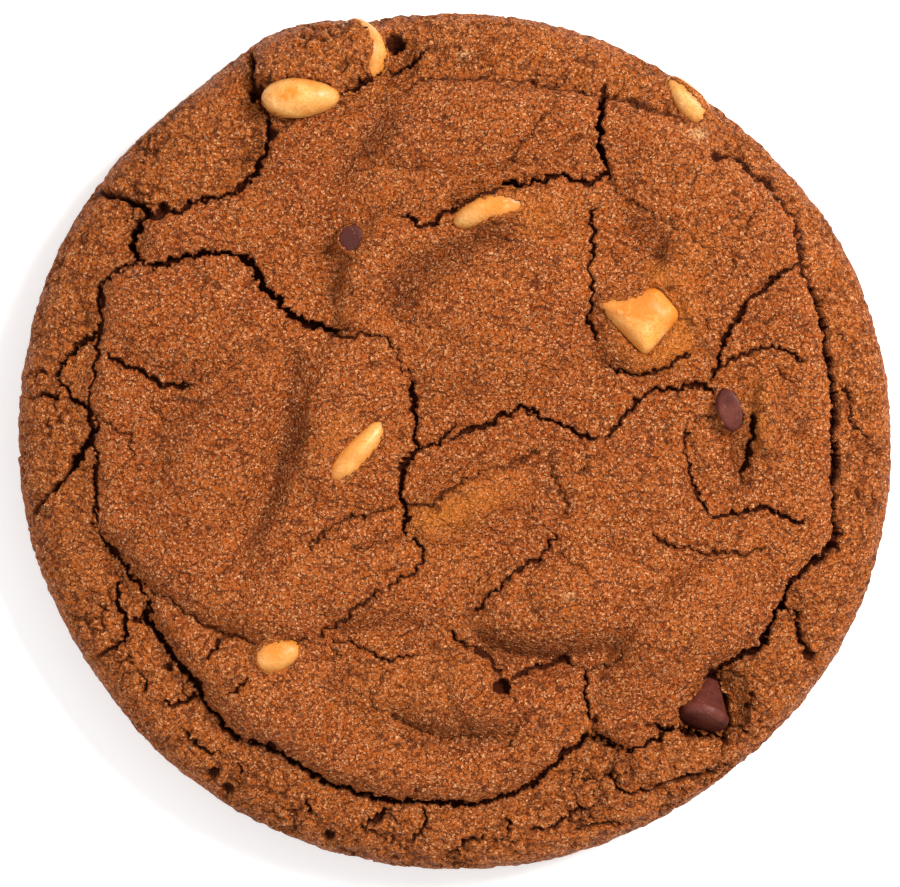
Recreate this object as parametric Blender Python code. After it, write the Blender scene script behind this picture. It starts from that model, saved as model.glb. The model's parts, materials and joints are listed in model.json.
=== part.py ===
"""A thick chocolate protein cookie with peanuts and chocolate chips showing in its top.

The dough is one solid. Its outline, rolled rim, raised plate, lumps, folds and cracks come from the
named sizes below, read in millimetres from the middle of the cookie, with +Y away from the viewer.
Each nut and chip is a solid of its own, in a pocket that follows its shape with a small gap.
"""

import math

import bmesh
import bpy
import numpy as np
from mathutils import Matrix, Vector, noise
from mathutils.geometry import delaunay_2d_cdt

MM = 0.001

# The whole cookie, in millimetres
RADIUS = 53.3
OVAL = 0.6
WAIST_HEIGHT = 4.6
RIM_HEIGHT = 11.6
PLATE_HEIGHT = 14.0
PLATE_EDGE = 1.4
SHOULDER = 9.0
BASE_INSET = 3.4
POCKET_GAP = 0.3

# The dough's mesh, in millimetres: a crack point closer than JOIN_WITHIN to another joins it, and the
# places beside a crack stay clear of others by a share of its half width
GRID_STEP = 2.15
CRACK_STEP = 1.7
RIM_STEP = 2.9
CLEARANCE = 1.25
JOIN_WITHIN = 0.75
BESIDE_CRACK_CLEARANCE = 0.9
EDGE_MARGIN = 3.6
RIM_INSETS = (0.35, 1.2, 2.8)
UNDERSIDE = ((0.35, 0.55), (1.3, 0.18), (BASE_INSET, 0.0))

# Bulges and dents of the outline: direction in degrees, half width in degrees, height in millimetres
OUTLINE_BULGES = (
    (50, 17, -0.9),
    (113, 10, 2.0),
    (102, 3, -0.5),
    (145, 20, 0.7),
    (212, 14, -0.5),
    (275, 30, 0.4),
    (335, 18, 0.5),
)

# Broad lumps and hollows of the top: place, half length, half width, direction in degrees, height
LUMPS = {
    "central_dome": (5.5, 15, 14, 10, 20, 1.7),
    "north_crescent": (4, 38, 16, 5, 8, 1.3),
    "ridge_over_the_curved_nut": (5, 27.5, 14, 5, 14, 1.6),
    "lump_by_the_small_chip": (-8.5, 22.5, 7, 5, 30, 1.0),
    "west_plate": (-33, 15, 11, 7, -20, 1.0),
    "long_west_ridge": (-27.5, 2, 17, 7.5, 62, 1.9),
    "ridge_over_the_long_nut": (-12.5, 4, 13, 6.5, 75, 1.5),
    "belly": (-14, -17, 15, 7, 25, 1.3),
    "glowing_lump": (1.5, -7.5, 8, 5, 25, 1.5),
    "middle_east_lump": (18, -6, 11, 8, 0, 1.0),
    "south_lump": (13, -19.5, 12, 7, 5, 1.5),
    "south_lobe": (-1, -31, 15, 6.5, -8, 1.6),
    "south_west_plate": (-21, -31, 10, 6, -35, 0.8),
    "east_ridge": (37, 1.5, 7, 3, 80, 1.3),
    "lump_round_the_kite": (23.5, 15, 7.5, 7.5, 0, 1.8),
    "north_east_plate": (29, 29, 9, 8, -40, 1.0),
    "south_east_plate": (28, -22, 9, 7, 20, 0.8),
    "nut_dome": (-17, 47.2, 9.5, 6.5, 10, 3.3),
    "west_valley": (-21.5, 0, 12, 3, 78, -0.9),
    "east_pocket": (32.5, -2, 7, 4.5, 95, -1.2),
    "hollow_by_the_top_nut": (-24.5, 42.5, 3, 2.5, 0, -1.3),
    "hollow_east_of_the_dome": (-7.5, 46.5, 3.5, 3, 30, -1.5),
    "hollow_round_the_cone_chip": (32, -33.5, 6, 4.5, 70, -2.6),
}

# Where the plate breaks from the rim, clockwise from the top: crack depth, half width, places
RING = {
    "north": (0.6, 1.3, ((-14, 40), (-6, 43), (-2.5, 44.5), (4, 44.5), (11, 43.5), (18, 42))),
    "north_east": (1.0, 0.9, ((18, 42), (29, 38.5), (33, 34.5), (38.5, 31.5), (42.5, 27), (44, 20))),
    "east": (1.9, 1.0, ((44, 20), (45.5, 12.5), (47, 2.5), (46.5, -8), (47, -12), (45.5, -14.5))),
    "south_east": (2.1, 1.0, ((45.5, -14.5), (41, -19), (38.5, -23.5), (36, -26), (31.5, -28.5))),
    "chip_bay": (1.3, 0.8, ((31.5, -28.5), (27, -35.5), (22, -38), (19.5, -37), (17, -35.5))),
    "south": (1.8, 1.0, ((17, -35.5), (9.5, -42), (5.5, -44.5), (-7, -44.5), (-18, -40.5), (-26.5, -36.5))),
    "south_west": (2.0, 1.0, ((-26.5, -36.5), (-31, -30.5), (-34.5, -26.5), (-38, -19), (-44, -11))),
    "west": (1.2, 0.8, ((-44, -11), (-44, -5), (-45, 4.5), (-43.5, 13), (-42.5, 20.5))),
    "north_west": (2.3, 1.1, ((-42.5, 20.5), (-38.5, 22.5), (-38, 28), (-31, 29.5), (-24.5, 32.5))),
    "nut_side": (1.2, 0.9, ((-24.5, 32.5), (-23, 36), (-22.5, 38.5), (-19, 39.5), (-14, 40))),
}

# The other cracks and folds: depth, half width, places
CRACKS = {
    "west_plate_top": (2.2, 1.0, ((-38.5, 22.5), (-27, 23), (-24.5, 20.5), (-18, 14), (-14, 13.5))),
    "west_plate_foot": (1.0, 0.7, ((-43, 11), (-40.5, 8.5), (-34, 6.5), (-31.5, 7), (-24, 12), (-19, 14.5))),
    "long_nut_ridge_east": (1.1, 0.7, ((-11.5, 13), (-8.5, 12.5), (-5.5, 8.5), (-5, -1.5), (-6, -11))),
    "centre_run_west": (1.1, 0.7, ((-5, -1.5), (-1, 0), (5.5, 3.5), (8.5, 4), (10, 2.5), (16.5, 0))),
    "centre_run_east": (1.1, 0.7, ((16.5, 0), (21.5, 2.5), (23.5, 5.5), (30, 7.5), (32, 8.5))),
    "glowing_lump_top": (0.8, 1.3, ((-6.5, -7.5), (-3.5, -8), (2, -4), (6, -3.5), (11, -1))),
    "belly_north": (0.6, 0.8, ((-6.5, -8), (-14, -10), (-19, -14))),
    "belly_south": (0.9, 1.1, ((-6, -11), (-4, -15), (-8.5, -19), (-17, -24.5), (-20.5, -25))),
    "belly_west": (0.9, 1.2, ((-20.5, -25), (-29, -23.5), (-36, -18), (-39, -14))),
    "south_lump_top": (0.9, 0.7, ((12, -11), (11, -15), (3, -20), (-1, -22.5))),
    "south_lump_foot": (0.8, 1.1, ((-1, -22.5), (5.5, -24.5), (11, -26.5), (21, -25))),
    "lobe_foot": (1.1, 1.1, ((-14, -31), (-3, -36), (2.5, -36.5), (7, -36), (9.5, -33.5), (6.5, -32))),
    "lobe_end": (1.0, 0.7, ((4, -26), (6, -29.5), (13.5, -26.5), (16, -31), (17, -35.5))),
    "east_pocket_foot": (1.0, 0.9, ((28.5, 2), (29, -3), (32, -10), (39, -8.5), (44, -9.5))),
    "south_east_line": (0.6, 0.6, ((23, -11), (25, -13.5), (34, -13.5), (39, -13.5))),
    "east_branch": (1.2, 0.7, ((44, 21.5), (37, 18), (33, 12.5), (32, 8.5))),
    "east_plate_top": (0.8, 0.7, ((32, 8.5), (36.5, 10.5), (45, 9.5))),
    "notch": (2.5, 1.0, ((18, 42.5), (18, 38.5), (18.5, 34), (18, 31.5))),
    "north_plate_foot": (1.1, 0.9, ((-6.5, 28), (-4, 26), (2, 29.5), (13.5, 33), (18, 31.5))),
    "east_ridge_top": (0.8, 1.2, ((18, 31.5), (25, 27), (32, 23.5))),
    "dome_east": (1.0, 0.7, ((18, 31.5), (16.5, 26), (17, 21), (16, 14))),
    "kite_foot": (0.9, 0.9, ((16, 14), (18, 9.5), (24, 8), (30, 12))),
    "dome_fold": (0.9, 1.4, ((-8.5, 16.5), (-3.5, 22), (-0.5, 24), (8.5, 24))),
    "west_wedge": (1.3, 0.9, ((-44, 13), (-48.5, 9.5), (-49.5, 7.5), (-45, 4.5))),
    "west_gash": (2.6, 1.2, ((-44.5, 2), (-45.5, -1), (-50, -6.5))),
    "nut_dome_foot": (1.6, 1.0, ((-25.5, 48), (-25, 44), (-23, 41.5))),
    "rim_south_west_fork": (1.0, 0.8, ((-39.5, -17), (-41, -23.5), (-44.5, -27))),
    "rim_south_west": (1.0, 0.8, ((-33, -29.5), (-34.5, -33), (-32.5, -38), (-29, -38.5))),
    "rim_south": (1.0, 0.8, ((-8, -44.5), (-9.5, -46.5), (-11.5, -48))),
    "rim_south_east": (1.1, 0.8, ((19.5, -40.5), (19.5, -43.5), (25, -43), (29.5, -41.5), (33.5, -40))),
    "rim_east": (0.9, 0.8, ((47.5, 7.5), (49.5, 2.5), (51, -1.5))),
    "rim_east_fork": (1.0, 0.8, ((41.5, -19.5), (43, -26), (44.5, -28))),
}

# The dough sinks a little towards each crack: share of its depth, and reach in half widths
SINK_SHARE = 0.2
SINK_REACH = 2.5

# The relief that no named crack or lump gives: height and wavelength of the crumb, in millimetres
CRUMB_HEIGHT = 0.32
CRUMB_LENGTH = 3.6
CRACK_WANDER = 0.35
CRACK_WANDER_LENGTH = 4.0
CRACK_WANDER_LAYERS = (5.5, 15.5)

# Nuts: place, half length, half width, half height, direction and tilt in degrees, taper, depth of the
# middle under the dough's top
NUTS = {
    "nut_top_left": (-18.9, 42.0, 4.8, 2.5, 2.3, 2, 0, 0.10, 0.2),
    "nut_under_dome": (-11.3, 48.0, 4.1, 2.9, 2.3, 114, 0, 0.10, 2.6),
    "nut_at_rim": (28.8, 41.6, 4.0, 1.9, 2.0, 129, 0, 0.10, 0.7),
    "nut_curved": (4.3, 28.3, 5.0, 2.3, 2.3, 17, -7, -0.15, 1.3),
    "nut_long": (-11.8, -1.4, 5.1, 2.1, 2.2, 48, 3, 0.10, 1.2),
    "nut_low_left": (-21.9, -26.4, 3.3, 2.2, 2.1, 15, 0, 0.12, 0.8),
}
# The butter chip: place, half height, depth, and each side's direction in degrees and distance
KITE = (23.0, 15.1, 2.5, 1.0)
KITE_SIDES = ((103, 3.3), (40, 3.9), (-41, 3.3), (224, 3.15))
KITE_SHARPNESS = 8
# Flat and small chocolate chips: place, half length, half width, half height, direction, depth
FLAT_CHIP = (33.8, 3.7, 2.9, 1.75, 1.7, 105, 0.3)
SMALL_CHIP = (-12.6, 24.6, 2.1, 1.9, 1.9, 60, 0.5)
# The chocolate chip that lies on its side, and its half section from the base's middle to the tip
CONE_CHIP_PLACE = (30.3, -34.8)
CONE_CHIP_DEPTH = -1.0
CONE_CHIP_TILT = 23
CONE_CHIP_TURN = 76
CONE_CHIP_PROFILE = ((0, 0), (2.7, 0), (3.2, 0.5), (3.15, 1.3), (2.3, 2.8), (1.5, 4.3), (0.8, 5.6), (0, 6.2))

# How square the butter chip and the chocolate chips are across their height: 1 is an ellipse
KITE_ROUNDNESS = 0.8
CHIP_ROUNDNESS = 0.6
TIP_GROWTH = 1.5

NUT_SEGMENTS = 14
NUT_RINGS = 8

DOUGH_COLOR = (0.34, 0.094, 0.026, 1)
NUT_COLOR = (0.75, 0.48, 0.17, 1)
BUTTER_CHIP_COLOR = (0.72, 0.39, 0.10, 1)
CHOCOLATE_COLOR = (0.068, 0.017, 0.013, 1)


def clear_scene():
    """Empty the scene, so that it holds only the cookie."""
    for old in list(bpy.data.objects):
        bpy.data.objects.remove(old, do_unlink=True)


def make_material(name, color, roughness):
    """Return a plain Principled material."""
    material = bpy.data.materials.new(name)
    material.use_nodes = True
    shader = material.node_tree.nodes["Principled BSDF"]
    shader.inputs["Base Color"].default_value = color
    shader.inputs["Roughness"].default_value = roughness
    shader.inputs["Metallic"].default_value = 0.0
    return material


def add_object(name, vertices, faces, material):
    """Make an object from places in millimetres, with its faces pointing out."""
    mesh = bpy.data.meshes.new(name)
    builder = bmesh.new()
    corners = [builder.verts.new(Vector(place) * MM) for place in vertices]
    for face in faces:
        builder.faces.new([corners[i] for i in face])
    bmesh.ops.recalc_face_normals(builder, faces=builder.faces)
    builder.to_mesh(mesh)
    builder.free()
    mesh.materials.append(material)
    piece = bpy.data.objects.new(name, mesh)
    bpy.context.scene.collection.objects.link(piece)
    return piece


def outline_radius(angle):
    """Distance from the middle to the outline, towards each angle in radians."""
    radius = RADIUS + OVAL * np.cos(2 * angle)
    for direction, half_width, height in OUTLINE_BULGES:
        turn = np.degrees(angle) - direction
        turn = (turn + 180) % 360 - 180
        radius = radius + height * np.exp(-((turn / half_width) ** 2))
    return radius


def ring_radius(angle):
    """Distance from the middle to the edge of the plate, towards each angle in radians."""
    places = np.array([place for _, _, route in RING.values() for place in route[:-1]])
    directions = np.arctan2(places[:, 1], places[:, 0])
    order = np.argsort(directions)
    reach = np.hypot(places[:, 0], places[:, 1])
    return np.interp(angle, directions[order], reach[order], period=2 * math.pi)


def crooked(route):
    """Walk along a route in even steps, with the small wander of a real crack."""
    route = np.array(route, dtype=float)
    runs = np.hypot(*np.diff(route, axis=0).T)
    along = np.concatenate(([0], np.cumsum(runs)))
    count = max(2, round(along[-1] / CRACK_STEP) + 1)
    stops = np.linspace(0, along[-1], count)
    walk = np.column_stack([np.interp(stops, along, route[:, k]) for k in (0, 1)])
    for i in range(1, count - 1):
        place = walk[i] / CRACK_WANDER_LENGTH
        drift = [noise.noise(Vector((*place, layer))) for layer in CRACK_WANDER_LAYERS]
        walk[i] += CRACK_WANDER * np.array(drift)
    reach = np.hypot(*walk.T)
    edge = outline_radius(np.arctan2(walk[:, 1], walk[:, 0])) - EDGE_MARGIN
    return walk * np.minimum(1, edge / reach)[:, None]


def distance_to_walk(x, y, walk):
    """Distance from each place to the nearest point of a walk."""
    nearest = np.full(np.shape(x), np.inf)
    for start, end in zip(walk[:-1], walk[1:]):
        run = end - start
        share = ((x - start[0]) * run[0] + (y - start[1]) * run[1]) / run.dot(run)
        share = np.clip(share, 0, 1)
        gap = np.hypot(x - start[0] - share * run[0], y - start[1] - share * run[1])
        nearest = np.minimum(nearest, gap)
    return nearest


def broad_height(x, y):
    """Height of the dough's top without its cracks: side, rolled rim, plate and lumps."""
    angle = np.arctan2(y, x)
    reach = np.hypot(x, y)
    inset = np.maximum(outline_radius(angle) - reach, 0)
    inside_ring = ring_radius(angle) - reach
    plate = 1 / (1 + np.exp(-PLATE_EDGE * inside_ring))
    top = RIM_HEIGHT + (PLATE_HEIGHT - RIM_HEIGHT) * plate
    for east, north, half_length, half_width, direction, height in LUMPS.values():
        turn = math.radians(direction)
        along = (x - east) * math.cos(turn) + (y - north) * math.sin(turn)
        across = (y - north) * math.cos(turn) - (x - east) * math.sin(turn)
        spread = np.clip(1 - (along / half_length) ** 2 - (across / half_width) ** 2, 0, 1)
        top = top + height * spread * (2 - spread)
    roll = np.sqrt(1 - (1 - np.clip(inset / SHOULDER, 0, 1)) ** 2)
    return WAIST_HEIGHT + (top - WAIST_HEIGHT) * roll


def dough_height(x, y, walks):
    """Height of the dough's top, with crumb and cracks."""
    height = broad_height(x, y)
    for depth, half_width, walk in walks:
        gap = distance_to_walk(x, y, walk)
        height = height - depth * np.clip(1 - gap / half_width, 0, 1)
        height = height - SINK_SHARE * depth * np.exp(-((gap / (SINK_REACH * half_width)) ** 2))
    crumb = [noise.noise(Vector((a, b, 0.0)) / CRUMB_LENGTH) for a, b in zip(x, y)]
    return height + CRUMB_HEIGHT * np.array(crumb)


def plan_points(walks):
    """Places of the dough's top seen from above, and the edges that run along its cracks."""
    rim_count = round(2 * math.pi * RADIUS / RIM_STEP)
    angles = np.linspace(-math.pi, math.pi, rim_count, endpoint=False)
    points = []
    for inset in (0.0, *RIM_INSETS):
        reach = outline_radius(angles) - inset
        points += list(zip(reach * np.cos(angles), reach * np.sin(angles)))
    edges = [(i, (i + 1) % rim_count) for i in range(rim_count)]
    for _, _, walk in walks:
        stops = []
        for place in walk:
            gaps = np.hypot(*(np.array(points) - place).T)
            if gaps.min() > JOIN_WITHIN:
                points.append(tuple(place))
                stops.append(len(points) - 1)
            else:
                stops.append(int(gaps.argmin()))
        edges += [pair for pair in zip(stops[:-1], stops[1:]) if pair[0] != pair[1]]
    for _, half_width, walk in walks:
        heading = np.gradient(walk, axis=0)
        heading /= np.hypot(*heading.T)[:, None]
        normal = np.column_stack((-heading[:, 1], heading[:, 0]))
        for side in (-half_width, half_width):
            for place in walk + side * normal:
                if np.hypot(*(np.array(points) - place).T).min() > BESIDE_CRACK_CLEARANCE * half_width:
                    points.append(tuple(place))
    fixed = np.array(points)
    rows = np.arange(-RADIUS, RADIUS, GRID_STEP * math.sqrt(3) / 2)
    for row, north in enumerate(rows):
        for east in np.arange(-RADIUS, RADIUS, GRID_STEP) + (row % 2) * GRID_STEP / 2:
            inset = outline_radius(math.atan2(north, east)) - math.hypot(east, north)
            if inset < RIM_INSETS[-1] + 0.5 * GRID_STEP:
                continue
            if np.hypot(*(fixed - (east, north)).T).min() > CLEARANCE:
                points.append((east, north))
    return points, edges, rim_count


def make_dough(material):
    """Build the dough: a relief over its outline, with a rounded side and a flat base."""
    walks = []
    for depth, half_width, route in (*RING.values(), *CRACKS.values()):
        walks.append((depth, half_width, crooked(route)))
    points, edges, rim_count = plan_points(walks)
    flat = delaunay_2d_cdt([Vector(place) for place in points], edges, [], 1, 1e-5)
    x, y = np.array([tuple(place) for place in flat[0]]).T
    z = dough_height(x, y, walks)
    sources = {old: new for new, olds in enumerate(flat[3]) for old in olds}
    rim = [sources[i] for i in range(rim_count)]
    for i in rim:
        z[i] = WAIST_HEIGHT
    vertices = list(zip(x, y, z))
    faces = [tuple(face) for face in flat[2]]
    above = rim
    for inset, share in UNDERSIDE:
        ring = list(range(len(vertices), len(vertices) + rim_count))
        for i in rim:
            keep = 1 - inset / math.hypot(x[i], y[i])
            vertices.append((x[i] * keep, y[i] * keep, share * WAIST_HEIGHT))
        for k in range(rim_count):
            after = (k + 1) % rim_count
            faces.append((above[k], above[after], ring[after]))
            faces.append((above[k], ring[after], ring[k]))
        above = ring
    faces.append(tuple(above))
    return add_object("dough", vertices, faces, material)


def pebble(outline, half_up, half_down, roundness, grow):
    """Vertices and faces of a closed rounded lump over an outline given as a distance per angle."""
    vertices = [(0.0, 0.0, half_up + grow)]
    for ring in range(1, NUT_RINGS):
        rise = math.cos(math.pi * ring / NUT_RINGS)
        reach = math.sin(math.pi * ring / NUT_RINGS) ** roundness
        level = rise * ((half_up if rise > 0 else half_down) + grow)
        for k in range(NUT_SEGMENTS):
            angle = 2 * math.pi * k / NUT_SEGMENTS
            radius = reach * (outline(angle) + grow)
            vertices.append((radius * math.cos(angle), radius * math.sin(angle), level))
    vertices.append((0.0, 0.0, -half_down - grow))
    last = len(vertices) - 1
    faces = []
    for k in range(NUT_SEGMENTS):
        after = (k + 1) % NUT_SEGMENTS
        faces.append((0, 1 + k, 1 + after))
        foot = last - NUT_SEGMENTS
        faces.append((last, foot + after, foot + k))
        for ring in range(NUT_RINGS - 2):
            upper = 1 + ring * NUT_SEGMENTS
            lower = upper + NUT_SEGMENTS
            faces.append((upper + k, lower + k, lower + after))
            faces.append((upper + k, lower + after, upper + after))
    return vertices, faces


def egg_outline(half_length, half_width, taper):
    """Outline of a nut that is a little narrower at one end."""
    def radius(angle):
        width = half_width * (1 - taper * math.cos(angle))
        return half_length * width / math.hypot(width * math.cos(angle), half_length * math.sin(angle))
    return radius


def kite_outline(angle):
    """Outline of the kite-shaped chip: its four sides, met in rounded corners."""
    total = 0.0
    for direction, distance in KITE_SIDES:
        facing = max(0.0, math.cos(angle - math.radians(direction)))
        total += (facing / distance) ** KITE_SHARPNESS
    return total ** (-1 / KITE_SHARPNESS)


def turned_profile(grow):
    """Vertices and faces of a chocolate chip: a flat base drawn up to a tip, along +Z."""
    top = CONE_CHIP_PROFILE[-1][1]
    rings = []
    for radius, level in CONE_CHIP_PROFILE[1:-1]:
        rings.append((radius + grow, level + grow * (2 * level / top - 1)))
    vertices = [(0.0, 0.0, -grow)]
    for radius, level in rings:
        for k in range(NUT_SEGMENTS):
            angle = 2 * math.pi * k / NUT_SEGMENTS
            vertices.append((radius * math.cos(angle), radius * math.sin(angle), level))
    vertices.append((0.0, 0.0, top + TIP_GROWTH * grow))
    last = len(vertices) - 1
    faces = []
    for k in range(NUT_SEGMENTS):
        after = (k + 1) % NUT_SEGMENTS
        faces.append((0, 1 + after, 1 + k))
        for ring in range(len(rings) - 1):
            lower = 1 + ring * NUT_SEGMENTS
            upper = lower + NUT_SEGMENTS
            faces.append((lower + k, lower + after, upper + after))
            faces.append((lower + k, upper + after, upper + k))
        head = last - NUT_SEGMENTS
        faces.append((head + k, head + after, last))
    return vertices, faces


def surface_level(east, north):
    """Height of the dough's broad top at one place."""
    return float(broad_height(np.array([east]), np.array([north]))[0])


def set_in_dough(name, shape, place, depth, turn, tilt, material, dough):
    """Add a piece at its place in the dough, and cut its pocket with the piece grown by the gap."""
    stand = Vector((*place, surface_level(*place) - depth))
    pose = Matrix.Translation(stand * MM) @ Matrix.Rotation(turn, 4, "Z") @ Matrix.Rotation(tilt, 4, "Y")
    piece = add_object(name, *shape(0.0), material)
    piece.matrix_world = pose
    piece.data.shade_smooth()
    cutter = add_object(name + "_pocket", *shape(POCKET_GAP), material)
    cutter.matrix_world = pose
    cutter.hide_render = True
    cutter.display_type = "WIRE"
    cut = dough.modifiers.new(cutter.name, "BOOLEAN")
    cut.operation = "DIFFERENCE"
    cut.object = cutter


def set_nuts(dough, material):
    """Set each nut in the dough."""
    for name, (east, north, length, width, height, turn, tilt, taper, depth) in NUTS.items():
        outline = egg_outline(length, width, taper)

        def shape(grow, outline=outline, height=height):
            return pebble(outline, height, height, 1.0, grow)

        turned = math.radians(turn)
        tilted = math.radians(tilt)
        set_in_dough(name, shape, (east, north), depth, turned, tilted, material, dough)


def set_chips(dough, butter, chocolate):
    """Set the kite-shaped chip, the flat chip, the small chip and the chip that lies on its side."""
    east, north, half_height, sunk = KITE

    def kite_shape(grow):
        return pebble(kite_outline, half_height, half_height, KITE_ROUNDNESS, grow)

    set_in_dough("butter_chip", kite_shape, (east, north), sunk, 0.0, 0.0, butter, dough)
    for name, chip in (("chip_flat", FLAT_CHIP), ("chip_small", SMALL_CHIP)):
        east, north, length, width, height, turn, depth = chip
        outline = egg_outline(length, width, 0.0)

        def shape(grow, outline=outline, height=height):
            return pebble(outline, height, height, CHIP_ROUNDNESS, grow)

        set_in_dough(name, shape, (east, north), depth, math.radians(turn), 0.0, chocolate, dough)
    lean = math.radians(90 + CONE_CHIP_TILT)
    set_in_dough("chip_cone", turned_profile, CONE_CHIP_PLACE, CONE_CHIP_DEPTH,
                 math.radians(CONE_CHIP_TURN), lean, chocolate, dough)


def make_cookie():
    """Make the whole cookie."""
    clear_scene()
    dough = make_dough(make_material("baked_dough", DOUGH_COLOR, 0.85))
    set_nuts(dough, make_material("peanut", NUT_COLOR, 0.4))
    butter = make_material("butter_chip", BUTTER_CHIP_COLOR, 0.5)
    chocolate = make_material("chocolate", CHOCOLATE_COLOR, 0.35)
    set_chips(dough, butter, chocolate)


make_cookie()
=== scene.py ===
# %% [markdown]
# # A chocolate protein cookie with peanuts and chocolate chips
# The real cookie is a ball of stiff dough that slumped in the oven. Its skin dried first, so the middle
# rose as one raised plate, broke away from the rim along a ring of deep cracks, and left the rim rough.
# Nuts and chips sit in the top, some bare and some under a thin film of dough.
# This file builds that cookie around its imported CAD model. Every length is in millimetres from the
# middle of the cookie, with +Y away from the viewer, and becomes metres only when a mesh is made. Only
# the floor, the lamps and the camera are placed in metres.

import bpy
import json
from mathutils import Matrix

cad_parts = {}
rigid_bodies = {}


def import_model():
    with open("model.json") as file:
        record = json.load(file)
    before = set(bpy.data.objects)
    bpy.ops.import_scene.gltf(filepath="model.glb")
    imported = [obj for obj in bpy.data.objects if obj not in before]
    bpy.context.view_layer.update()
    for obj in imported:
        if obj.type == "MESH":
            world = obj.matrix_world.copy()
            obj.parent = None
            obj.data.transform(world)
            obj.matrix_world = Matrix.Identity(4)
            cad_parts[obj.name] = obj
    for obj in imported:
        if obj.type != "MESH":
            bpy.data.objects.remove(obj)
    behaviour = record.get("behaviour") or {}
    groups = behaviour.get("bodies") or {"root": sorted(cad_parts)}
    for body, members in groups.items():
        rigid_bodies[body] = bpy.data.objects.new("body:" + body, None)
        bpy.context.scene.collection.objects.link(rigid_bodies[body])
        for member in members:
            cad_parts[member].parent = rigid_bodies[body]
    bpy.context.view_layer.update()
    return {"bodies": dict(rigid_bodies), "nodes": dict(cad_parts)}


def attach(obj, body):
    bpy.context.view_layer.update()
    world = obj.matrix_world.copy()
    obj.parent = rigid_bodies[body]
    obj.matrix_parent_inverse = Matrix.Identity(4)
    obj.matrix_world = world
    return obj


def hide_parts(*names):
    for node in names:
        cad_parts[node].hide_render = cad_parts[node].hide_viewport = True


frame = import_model()

# %% Tools
import json
import math

import bpy
import numpy as np
from mathutils import Matrix, Vector, noise
from mathutils.bvhtree import BVHTree
from mathutils.geometry import delaunay_2d_cdt

MM = 0.001
BODY = next(iter(frame["bodies"]))
print("nodes of the packed cookie:", sorted(frame["nodes"]))

# %% [markdown]
# ## The broad form
# Before any crack, the dough is a thick disc with a slightly uneven outline, a rounded rim, a raised
# plate and broad lumps over the things hidden in it. A sculpted mesh could give this form, but formulas
# keep it the same as the CAD solid and let every later step ask for the height at any place.
# The numbers below are the CAD model's own, apart from the fuller rim.

# %% Outline, rim and plate
RADIUS = 53.3
OVAL = 0.6
WAIST_HEIGHT = 4.6
RIM_HEIGHT = 11.6
PLATE_HEIGHT = 14.0
PLATE_EDGE = 1.4
SHOULDER = 9.0
# The CAD model's rim is a plain quarter oval, 2; the baked rim is a little fuller
RIM_FULLNESS = 3.0
BASE_INSET = 3.4
# Bulges and dents of the outline: direction in degrees, half width in degrees, height
OUTLINE_BULGES = (
    (50, 17, -0.9),
    (113, 10, 2.0),
    (102, 3, -0.5),
    (145, 20, 0.7),
    (212, 14, -0.5),
    (275, 30, 0.4),
    (335, 18, 0.5),
)
# Corners of the raised plate, clockwise from the top
PLATE_CORNERS = (
    (-14, 40), (-6, 43), (-2.5, 44.5), (4, 44.5), (11, 43.5), (18, 42), (29, 38.5), (33, 34.5),
    (38.5, 31.5), (42.5, 27), (44, 20), (45.5, 12.5), (47, 2.5), (46.5, -8), (47, -12), (45.5, -14.5),
    (41, -19), (38.5, -23.5), (36, -26), (31.5, -28.5), (27, -35.5), (22, -38), (19.5, -37), (17, -35.5),
    (9.5, -42), (5.5, -44.5), (-7, -44.5), (-18, -40.5), (-26.5, -36.5), (-31, -30.5), (-34.5, -26.5),
    (-38, -19), (-44, -11), (-44, -5), (-45, 4.5), (-43.5, 13), (-42.5, 20.5), (-38.5, 22.5), (-38, 28),
    (-31, 29.5), (-24.5, 32.5), (-23, 36), (-22.5, 38.5), (-19, 39.5),
)


def outline_radius(angle):
    """Distance from the middle to the outline, towards each angle in radians."""
    radius = RADIUS + OVAL * np.cos(2 * angle)
    for direction, half_width, height in OUTLINE_BULGES:
        turn = (np.degrees(angle) - direction + 180) % 360 - 180
        radius = radius + height * np.exp(-((turn / half_width) ** 2))
    return radius


def plate_radius(angle):
    """Distance from the middle to the edge of the raised plate, towards each angle in radians."""
    corners = np.array(PLATE_CORNERS, dtype=float)
    directions = np.arctan2(corners[:, 1], corners[:, 0])
    order = np.argsort(directions)
    return np.interp(angle, directions[order], np.hypot(*corners.T)[order], period=2 * math.pi)


# %% [markdown]
# ## Lumps and hollows
# Each lump is where the dough lies over a nut or a chip, or where it folded as it slumped. A lump is an
# oval cushion: one at its middle, zero at its edge, and level at both, so that lumps run into each other.

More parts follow.
